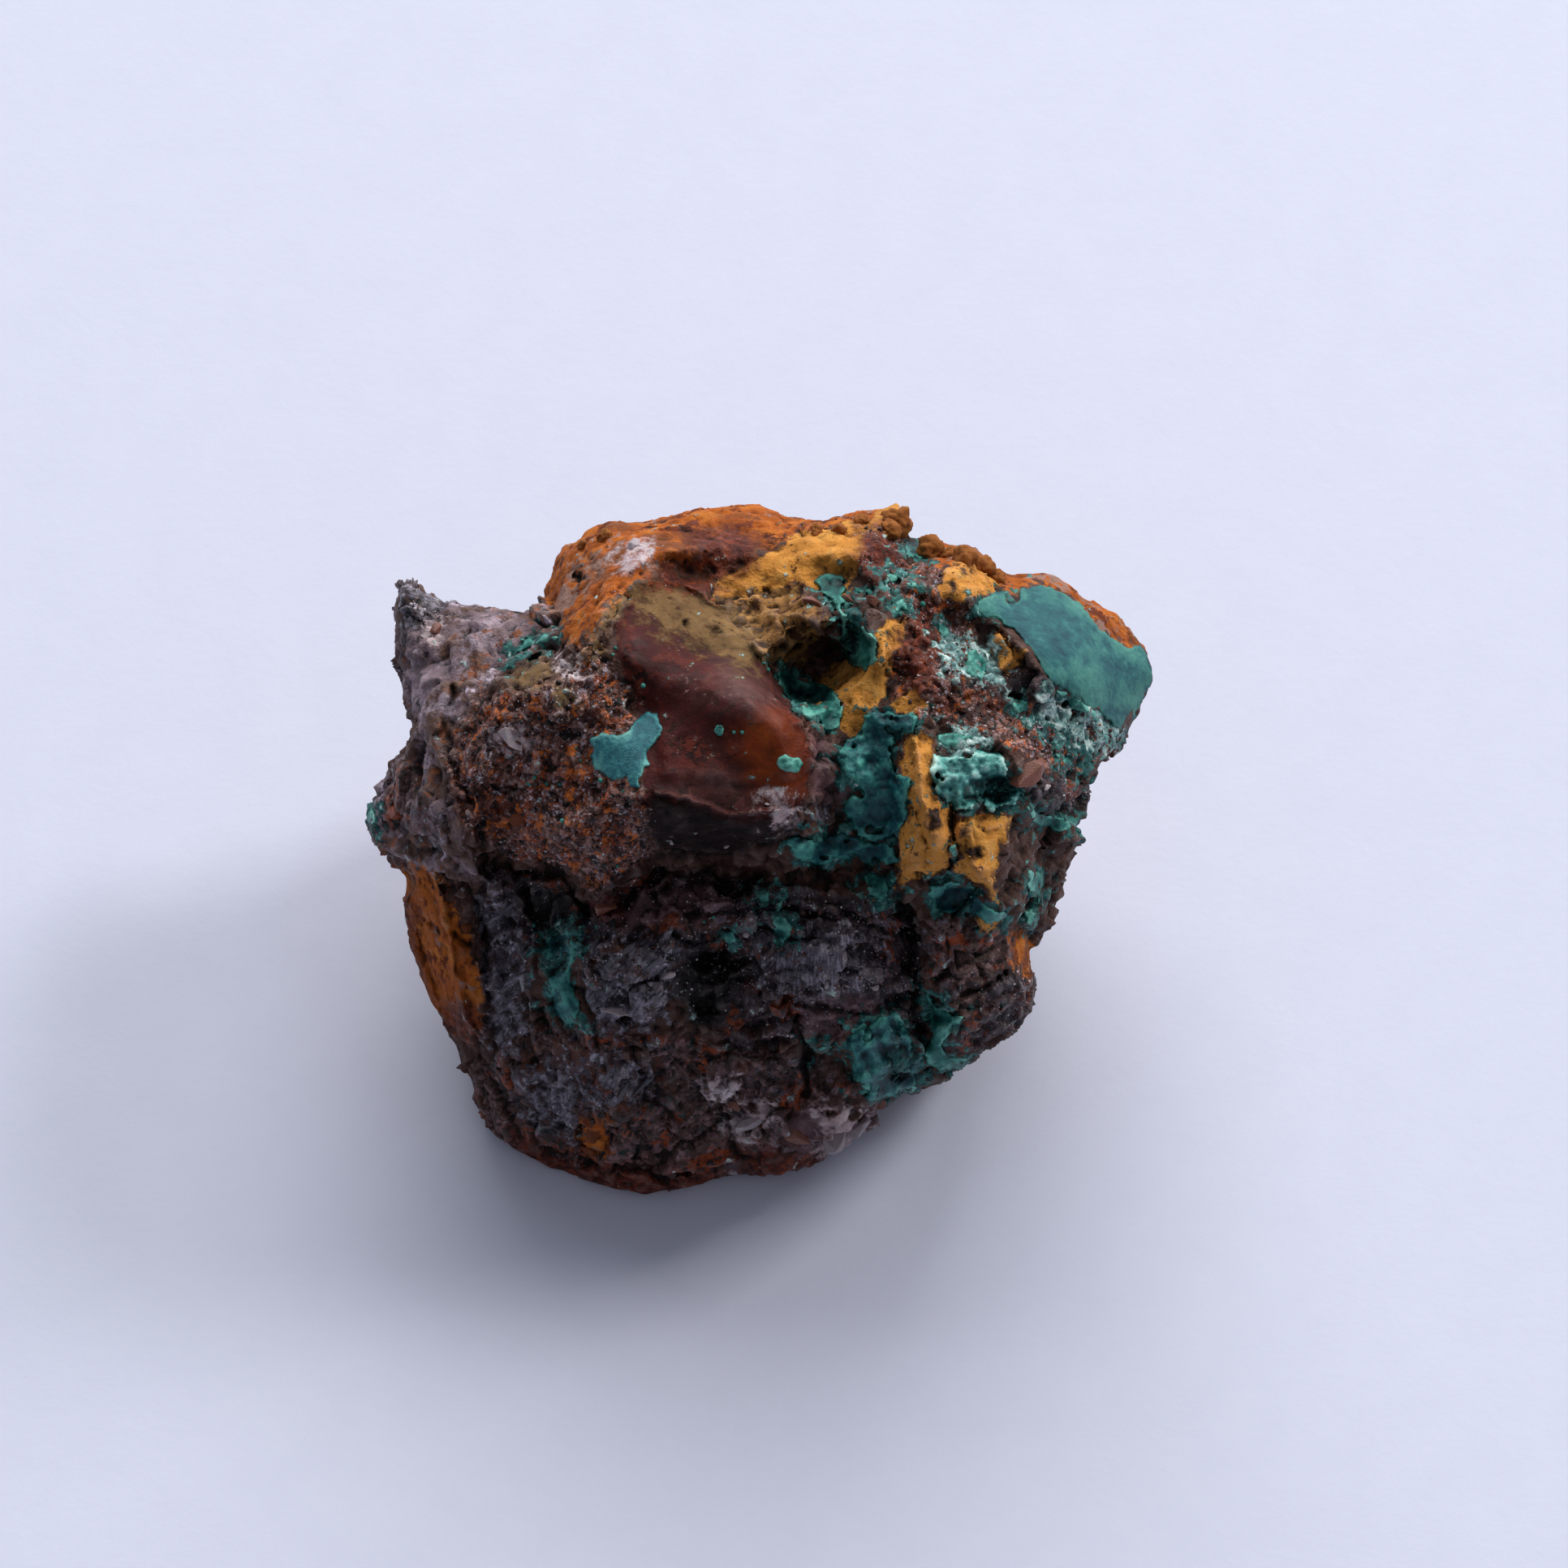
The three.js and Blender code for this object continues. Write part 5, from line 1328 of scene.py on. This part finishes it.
# The pale lilac-grey specks of the granular, brown and grey zones are partly the rock's pale grains and
# partly painted glints.
SPECK_FINISHES = [
    (1.6, 0.55, 0.3, "5a2616", "granular"), (0.2, 0.62, 1.0, "93400f", "granular"),
    (0.13, 0.66, 1.4, "c4641c", "granular"), (0.5, 0.55, 0.3, "080404", "granular"),
    (0.24, 0.6, 0.4, "ac9ca6", "granular"), (1.8, 0.55, 0.4, "43201a", "dark"),
    (1.6, 0.54, 0.5, "562a18", "brown"), (0.35, 0.64, 1.2, "8a3a12", "brown"),
    (0.8, 0.6, 0.5, "4c4450", "brown"), (0.5, 0.57, 0.4, "0c0707", "brown"),
    (0.3, 0.66, 0.5, "8a7c86", "brown"), (0.6, 0.67, 0.6, "173c39", "brown"),
    (0.45, 0.64, 1.0, "7a3414", "dark"), (0.8, 0.62, 0.4, "62545e", "dark"),
    (0.9, 0.65, 0.5, "123836", "dark"), (1.6, 0.6, 0.3, "8a5526", "ochre"),
    (0.5, 0.66, 0.4, "4a2a12", "ochre"), (1.5, 0.56, 0.4, "642b12", "orange"),
    (0.6, 0.62, 0.6, "30140b", "orange"), (2.6, 0.54, 0.2, "7a4424", "orange"),
    (0.9, 0.6, 0.8, "8c6c60", "orange"), (2.4, 0.56, 0.3, "571f15", "jasper"),
    (0.5, 0.61, 0.3, "1e0807", "jasper"), (1.1, 0.57, 0.4, "30100c", "jasper"),
    (0.35, 0.66, 0.4, "7c5c56", "jasper"), (2.6, 0.5, 0.3, "553a2e", "lilac"),
    (1.2, 0.57, 0.3, "2b2329", "lilac"), (0.9, 0.6, 0.4, "b4a6b8", "lilac"),
    (0.5, 0.64, 0.8, "7e4526", "lilac"), (0.8, 0.6, 0.4, "4a3020", "olive"),
    (1.0, 0.57, 0.4, "4a2416", "grey"), (0.6, 0.57, 0.4, "100c0e", "grey"),
    (0.25, 0.62, 0.4, "c4bccb", "grey"), (0.9, 0.58, 0.4, "4a2a16", "tan"),
]


def rock_patterns(tree, place):
    """The grain's numbers, and for each kind of surface its tone from 0 to 1 and its fine height in mm."""
    grain = use_group(tree, GRAIN, {"Place": place, "Size": 0.5})
    broad, fine = grain["Broad"], grain["Fine"]
    fibre_place = add(tree, "ShaderNodeCombineXYZ", {
        "X": times(tree, number_on(tree, "fibre_around"), 8.0), "Y": number_on(tree, "fibre_away")})
    fibres = noise(tree, fibre_place.outputs[0], 1.0, 4.0, 0.6)
    grit = times(tree, grain["Grit"], 0.07)
    facets = plus(tree, times(tree, grain["Facets"], 0.7), times(tree, fine, 0.3))
    chips = plus(tree, facets, grit)
    return grain, {
        "grains": (blend_values(tree, 0.25, fine, grain["Facet Tone"]), chips),
        "fibres": (blend_values(tree, 0.55, fine, fibres), plus(tree, times(tree, fibres, 0.12), chips)),
        "plates": (blend_values(tree, 0.4, broad, fine), plus(tree, times(tree, fine, 0.2), grit)),
        "clouds": (blend_values(tree, 0.3, broad, fine),
                   plus(tree, times(tree, fine, 0.06), times(tree, grain["Grit"], 0.03))),
        "earth": (blend_values(tree, 0.5, broad, fine), plus(tree, times(tree, fine, 0.16), grit)),
    }


def rock_material(name, **constants):
    """The rock's finish: its zones over each other, then specks, painted shade in hollows, painted highlights
    on edges, and glints.
    """
    material, tree, place = new_material(name)
    grain, patterns = rock_patterns(tree, place)
    tone, height = patterns["grains"]
    color = blend_colours(tree, tone, paint("1a0f0c"), paint("664236"))
    roughness = plus(tree, times(tree, grain["Grit"], 0.4), 0.4)
    masks = {}
    for zone, (dark, middle, light, finish, raggedness, softness, pattern) in ZONE_FINISHES.items():
        tone, layer_height = patterns[pattern]
        layer = use_group(tree, LAYER, {
            "Color": color, "Roughness": roughness, "Height": height, "Mask": number_on(tree, zone),
            "Ragging": grain["Fine"], "Raggedness": raggedness, "Softness": softness, "Tone": tone,
            "Dark": paint(dark), "Middle": paint(middle), "Light": paint(light),
            "Layer Roughness": finish, "Layer Height": layer_height})
        color, roughness, height, masks[zone] = (layer[k] for k in ("Color", "Roughness", "Height", "Mask"))
        for size, level, cluster, tint, its_zone in SPECK_FINISHES:
            if its_zone == zone:
                specks = use_group(tree, SPECKS, {
                    "Place": place, "Size": size, "Level": level, "Cluster": cluster})["Mask"]
                color = blend_colours(tree, times(tree, specks, masks[zone]), color, paint(tint))
    # Painted shade darkens the hollows, and a painted highlight pales the edges.
    color = use_group(tree, SHADE_AND_HIGHLIGHT, {
        "Color": color, "Hollow": number_on(tree, "hollow"), "Painted Shade": paint("0a0605"), "Painted Shade Amount": 0.85,
        "Edge Highlight Amount": 0.22})["Color"]
    # The glints are painted highlights: small pale spots, with a smoother finish, on the dark, grey and
    # granular rock.
    glassy = value(tree, "MAXIMUM", value(tree, "MAXIMUM", masks["dark"], masks["grey"]), masks["granular"])
    clusters = between(tree, grain["Broad"], 0.42, 0.56)
    glints = times(tree, times(tree, grain["Glints"], glassy), clusters)
    color = blend_colours(tree, times(tree, glints, 0.8), color, paint("b8b0bc"))
    roughness = blend_values(tree, glints, roughness, 0.15)
    finish_material(tree, color, roughness, height, **constants)
    return material


# Each crust look: dark, middle and light tone, tint of its crests, which is their painted highlight,
# roughness, and depth of its mottling.

CRUST_LOOKS = {
    "plate": ("0d3742", "154650", "226062", "458478", 0.7, 0.5),
    "patch": ("0c4048", "185863", "2f757c", "72b8ae", 0.55, 0.4),
    "deep": ("031417", "0c3b43", "1f6164", "50a092", 0.4, 0.4),
    "bright": ("052224", "175450", "307d73", "74bcab", 0.45, 0.3),
    "frosted": ("031c1e", "1c5b5a", "59a49c", "c4e8de", 0.4, 0.3),
}


def crust_material(look):
    """A crust with painted shade in its creases and painted highlights on its bumps."""
    dark, middle, light, crest_tint, finish, mottling = CRUST_LOOKS[look]
    material, tree, place = new_material("pseudomalachite " + look)
    grain = use_group(tree, GRAIN, {"Place": place, "Size": 0.28})
    mottles = times(tree, value(tree, "SUBTRACT", grain["Broad"], 0.5), mottling)
    tone = plus(tree, blend_values(tree, 0.6, grain["Fine"], number_on(tree, "crest")), mottles)
    layer = use_group(tree, LAYER, {
        "Color": paint(dark), "Roughness": finish, "Height": grain["Fine"], "Mask": 1.0, "Ragging": 0.5,
        "Raggedness": 0.0, "Softness": 0.1, "Tone": tone, "Dark": paint(dark), "Middle": paint(middle),
        "Light": paint(light), "Layer Roughness": finish, "Layer Height": 0.0})
    color = blend_colours(tree, between(tree, tone, 0.66, 0.95), layer["Color"], paint(crest_tint))
    # The glints are painted highlights: small spots tinted like the crests.
    glints = times(tree, grain["Glints"], 0.6)
    color = blend_colours(tree, times(tree, glints, mottling), color, paint(crest_tint))
    facets = times(tree, grain["Facets"], times(tree, mottling, 0.5))
    grit = plus(tree, times(tree, grain["Fine"], 0.13), times(tree, grain["Grit"], 0.03))
    finish_material(tree, color, layer["Roughness"], plus(tree, facets, grit), Specular_IOR_Level=0.25,
                    Coat_Weight=0.05, Coat_Roughness=0.3)
    return material


# Each small stone's look: dark and light tone, roughness, and the light that passes through.

STONE_LOOKS = {
    "quartz": ("84767a", "d8ced2", 0.25, 0.3),
    "feldspar": ("5a3026", "a06c58", 0.35, 0.15),
    "rust": ("54240f", "94501f", 0.8, 0.0),
    "blade": ("2e2c32", "85828d", 0.4, 0.0),
    "orange earth": ("6e340f", "c08238", 0.9, 0.0),
    "iron": ("120b0a", "5a3a33", 0.4, 0.0),
    "ochre crumb": ("84572a", "bd8f4c", 0.9, 0.0),
    "orange crumb": ("5c240d", "ad4f17", 0.8, 0.0),
    "bead": ("14504c", "5fa899", 0.45, 0.0),
}


def stone_material(look):
    """A small stone of even colour, in two tones."""
    dark, light, finish, through = STONE_LOOKS[look]
    material, tree, place = new_material(look)
    grain = use_group(tree, GRAIN, {"Place": place, "Size": 0.3})
    tone = blend_values(tree, number_on(tree, "grain_tone"), times(tree, grain["Fine"], 0.5), 1.0)
    color = blend_colours(tree, tone, paint(dark), paint(light))
    height = times(tree, grain["Grit"], 0.04)
    finish_material(tree, color, finish, height, Specular_IOR_Level=0.35, Subsurface_Weight=through,
                    Subsurface_Radius=(1.0, 0.8, 0.7), Subsurface_Scale=0.3 * MM)
    return material


# Grains scattered by Geometry Nodes

def make_scatter_tree():
    """Grains on a surface: its numbers say where they lie, and the inputs say how many and how big."""
    tree = bpy.data.node_groups.new("scattered grains", "GeometryNodeTree")
    for name, kind in (("Geometry", "Geometry"), ("Where", "String"), ("Least Gap", "Float"),
                       ("Most Per Area", "Float"), ("Smallest", "Float"), ("Largest", "Float"),
                       ("Grain Seed", "Int"), ("Finish", "Material")):
        tree.interface.new_socket(name, in_out="INPUT", socket_type="NodeSocket" + kind)
    tree.interface.new_socket("Geometry", in_out="OUTPUT", socket_type="NodeSocketGeometry")
    given = tree.nodes.new("NodeGroupInput").outputs
    where = add(tree, "GeometryNodeInputNamedAttribute", {"Name": given["Where"]}, data_type="FLOAT")
    spread = add(tree, "GeometryNodeDistributePointsOnFaces", {
        "Mesh": given["Geometry"], "Distance Min": given["Least Gap"], "Density Max": given["Most Per Area"],
        "Density Factor": where.outputs["Attribute"], "Seed": given["Grain Seed"]},
        distribute_method="POISSON")
    grain = add(tree, "GeometryNodeMeshIcoSphere", {"Radius": 0.5, "Subdivisions": 1})
    size = add(tree, "FunctionNodeRandomValue", {
        "Min": given["Smallest"], "Max": given["Largest"], "Seed": given["Grain Seed"]}, data_type="FLOAT")
    shape = add(tree, "FunctionNodeRandomValue", {0: (0.55, 0.55, 0.4), 1: (1.2, 0.9, 0.8), "Seed": 3},
                data_type="FLOAT_VECTOR")
    scale = add(tree, "ShaderNodeVectorMath", {0: shape.outputs[0], "Scale": size.outputs[1]},
                operation="SCALE")
    turn = add(tree, "FunctionNodeRandomValue", {0: (0, 0, 0), 1: (6.28, 6.28, 6.28), "Seed": 5},
               data_type="FLOAT_VECTOR")
    placed = add(tree, "GeometryNodeInstanceOnPoints", {
        "Points": spread.outputs["Points"], "Instance": grain.outputs["Mesh"],
        "Rotation": turn.outputs[0], "Scale": scale.outputs[0]})
    tone = add(tree, "FunctionNodeRandomValue", {"Min": 0.0, "Max": 1.0, "Seed": 9}, data_type="FLOAT")
    toned = add(tree, "GeometryNodeStoreNamedAttribute", {
        "Geometry": placed.outputs[0], "Name": "grain_tone", "Value": tone.outputs[1]},
        data_type="FLOAT", domain="INSTANCE")
    real = add(tree, "GeometryNodeRealizeInstances", {"Geometry": toned.outputs[0]})
    painted = add(tree, "GeometryNodeSetMaterial", {"Geometry": real.outputs[0], "Material": given["Finish"]})
    made = tree.nodes.new("NodeGroupOutput")
    tree.links.new(painted.outputs[0], made.inputs[0])
    return tree


# Grains: where they lie, gap, number for each square millimetre, smallest and largest size in mm, and look.

GRAINS = {
    "iron_grains": ("iron_where", 0.3, 3.5, 0.14, 0.5, "iron"),
    "orange_crumbs": ("orange_where", 0.13, 12, 0.05, 0.18, "orange crumb"),
    "quartz_grains": ("quartz_where", 0.3, 3.5, 0.06, 0.2, "quartz"),
    "green_grains": ("green_where", 0.2, 9, 0.08, 0.26, "bead"),
    "ochre_crumbs": ("ochre_where", 0.25, 4, 0.08, 0.22, "ochre crumb"),
}


def grain_places(mesh, masks, points):
    """Numbers on the rock's points that say where each kind of grain lies."""
    granular, dark, brown = (within(masks[zone]) for zone in ("granular", "dark", "brown"))
    patchy = ramp(rough(points, 1.6, 300), -0.2, 0.4)
    rusty = ramp(rough(points, 1.8, 310), 0.25, 0.5)
    set_values(mesh, "iron_where", np.maximum(granular * 0.9, np.maximum(dark, brown) * 0.5) * patchy)
    set_values(mesh, "orange_where", granular * rusty)
    set_values(mesh, "quartz_where", np.maximum(granular, dark) * patchy)
    set_values(mesh, "green_where", ramp(masks["stain"], 0.45, 0.7) * ramp(rough(points, 0.9, 330), 0.0, 0.4))
    set_values(mesh, "ochre_where", ramp(masks["ochre"], 0.3, 0.6) * ramp(-masks["ochre"], -0.9, -0.6))


def scatter_grains(rock, name, tree, finish):
    """One kind of grain over the rock, as a plain mesh."""
    where, gap, per_area, smallest, largest, _ = GRAINS[name]
    carrier = new_piece(name + "_carrier", rock.data)
    modifier = carrier.modifiers.new("grains", "NODES")
    modifier.node_group = tree
    sockets = {item.name: item.identifier for item in tree.interface.items_tree if item.in_out == "INPUT"}
    for socket, given in (("Where", where), ("Least Gap", gap * MM), ("Most Per Area", per_area / MM ** 2),
                          ("Smallest", smallest * MM), ("Largest", largest * MM),
                          ("Grain Seed", sorted(GRAINS).index(name)), ("Finish", finish)):
        modifier[sockets[socket]] = given
    mesh = after_modifiers(carrier)
    bpy.data.objects.remove(carrier)
    for zone in (*ZONES, "fibre_around", "fibre_away", "hollow"):
        if zone in mesh.attributes:
            mesh.attributes.remove(mesh.attributes[zone])
    points = points_of(mesh)
    points += GRAIN_ROUGHNESS * np.column_stack([lumps(points, 0.12, 400 + axis) for axis in range(3)])
    move_points(mesh, points)
    return new_piece(name, mesh)


# Building

def build_rock():
    """The rock, with a finish of its own where jasper lets a little light in."""
    mesh = shape_rock()
    mesh.shade_smooth()
    masks = mark_rock(mesh)
    grain_places(mesh, masks, points_of(mesh))
    mesh.materials.clear()
    mesh.materials.append(rock_material("gossan", Specular_IOR_Level=0.25))
    mesh.materials.append(rock_material("jasper", Specular_IOR_Level=0.13, Subsurface_Weight=0.2,
                                        Subsurface_Radius=(1.0, 0.25, 0.12), Subsurface_Scale=0.7 * MM))
    faces = [1 if min(masks["jasper"][i] for i in p.vertices) > 0.5 else 0 for p in mesh.polygons]
    mesh.polygons.foreach_set("material_index", faces)
    rock = new_piece("rock", mesh)
    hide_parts("matrix")
    keep(rock)
    return rock


def keep(piece):
    """Ties a finished piece to the part's one body."""
    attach(piece, "root")


def build_crusts(tree):
    """The eleven large crusts, and the small ones and single beads as one piece."""
    finishes = {look: crust_material(look) for look in CRUST_LOOKS}
    for number, (node, crust) in enumerate(CRUSTS.items()):
        sheet = crust_sheet(tree, crust["edge"], crust["stand"], crust["beads"], crust["relief"],
                            CRUST_SEED + 10 * number, crust.get("bridging", CRUST_BRIDGING),
                            crust.get("hollow", ()))
        piece = crust_piece(node.replace("crust", "green"), sheet, finishes[crust["look"]])
        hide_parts(node)
        keep(piece)
    small = [crust_sheet(tree, edge, 0.26, 0.4, 0.16, SMALL_CRUST_SEED + 10 * number)
             for number, edge in enumerate(SMALL_CRUSTS)]
    small += bead_parts(tree, BEADS, 2, 0.25)
    keep(crust_piece("green_small_crusts", joined(small), finishes["bright"]))


def stone_piece(name, parts, look):
    """One piece of small stones that are set in the rock."""
    points, faces, _ = joined(parts)
    mesh = outward(mesh_from(name, points, faces))
    mesh.materials.append(stone_material(look))
    piece = new_piece(name, mesh)
    keep(piece)
    return piece


def build_shards(tree):
    for look in ("quartz", "feldspar", "rust", "blade"):
        stone_piece(look + "_shards", shard_parts(tree, look), look).data.shade_flat()


def build_rim(tree):
    stone_piece("rim_lumps", bead_parts(tree, RIM_LUMPS, 4, 0.9), "orange earth")


def build_grains(rock):
    tree = make_scatter_tree()
    for name, (*_, look) in GRAINS.items():
        piece = scatter_grains(rock, name, tree, stone_material(look))
        keep(piece)


# Floor, light and camera

def lay_floor():
    mesh = bpy.data.meshes.new("floor")
    half = 3.0
    corners = [(-half, -half, 0), (half, -half, 0), (half, half, 0), (-half, half, 0)]
    mesh.from_pydata(corners, [], [(0, 1, 2, 3)])
    material, tree, place = new_material("pale table")
    grain = use_group(tree, GRAIN, {"Place": place, "Size": 2.0})
    color = blend_colours(tree, grain["Fine"], paint("cdd1e4"), paint("d4d8ea"))
    finish_material(tree, color, 0.7, times(tree, grain["Grit"], 0.01))
    mesh.materials.append(material)
    new_piece("floor", mesh)


def area_light(name, place, size, power, tint):
    """A square light at a place in metres that faces the stone."""
    light = bpy.data.lights.new(name, "AREA")
    light.size = size
    light.energy = power
    light.color = tint
    lamp = bpy.data.objects.new(name, light)
    lamp.location = place
    lamp.rotation_euler = (Vector((0, 0, LIT_HEIGHT)) - Vector(place)).to_track_quat("-Z", "Y").to_euler()
    bpy.context.scene.collection.objects.link(lamp)


def set_lights():
    area_light("window", (0.0, 1.147, 0.803), 1.2, 23.0, (1.0, 0.99, 0.98))
    area_light("lamp", (0.993, 0.573, 0.803), 0.35, 11.0, (1.0, 0.97, 0.94))
    world = bpy.data.worlds.new("room")
    world.use_nodes = True
    background = world.node_tree.nodes["Background"]
    background.inputs["Color"].default_value = (0.84, 0.87, 1.0, 1)
    background.inputs["Strength"].default_value = 0.27
    bpy.context.scene.world = world
    bpy.context.scene.view_settings.view_transform = "Standard"


def set_camera():
    """Looks straight at the sheet."""
    camera = bpy.data.cameras.new("camera")
    camera.sensor_width = SENSOR
    camera.lens = SENSOR * CAMERA_DISTANCE / VIEW_WIDTH
    camera.clip_start = 0.01
    target = off_sheet(*VIEW_CENTRE, VIEW_HEIGHT) * MM
    turned = Matrix([SHEET_RIGHT, SHEET_UP, SHEET_OUT]).transposed().to_4x4()
    eye = bpy.data.objects.new("camera", camera)
    eye.matrix_world = Matrix.Translation(Vector(target + SHEET_OUT * CAMERA_DISTANCE)) @ turned
    bpy.context.scene.collection.objects.link(eye)
    bpy.context.scene.camera = eye


rock = build_rock()
rock_tree = surface_tree(rock.data)
build_crusts(rock_tree)
build_shards(rock_tree)
build_rim(rock_tree)
build_grains(rock)
lay_floor()
set_lights()
set_camera()
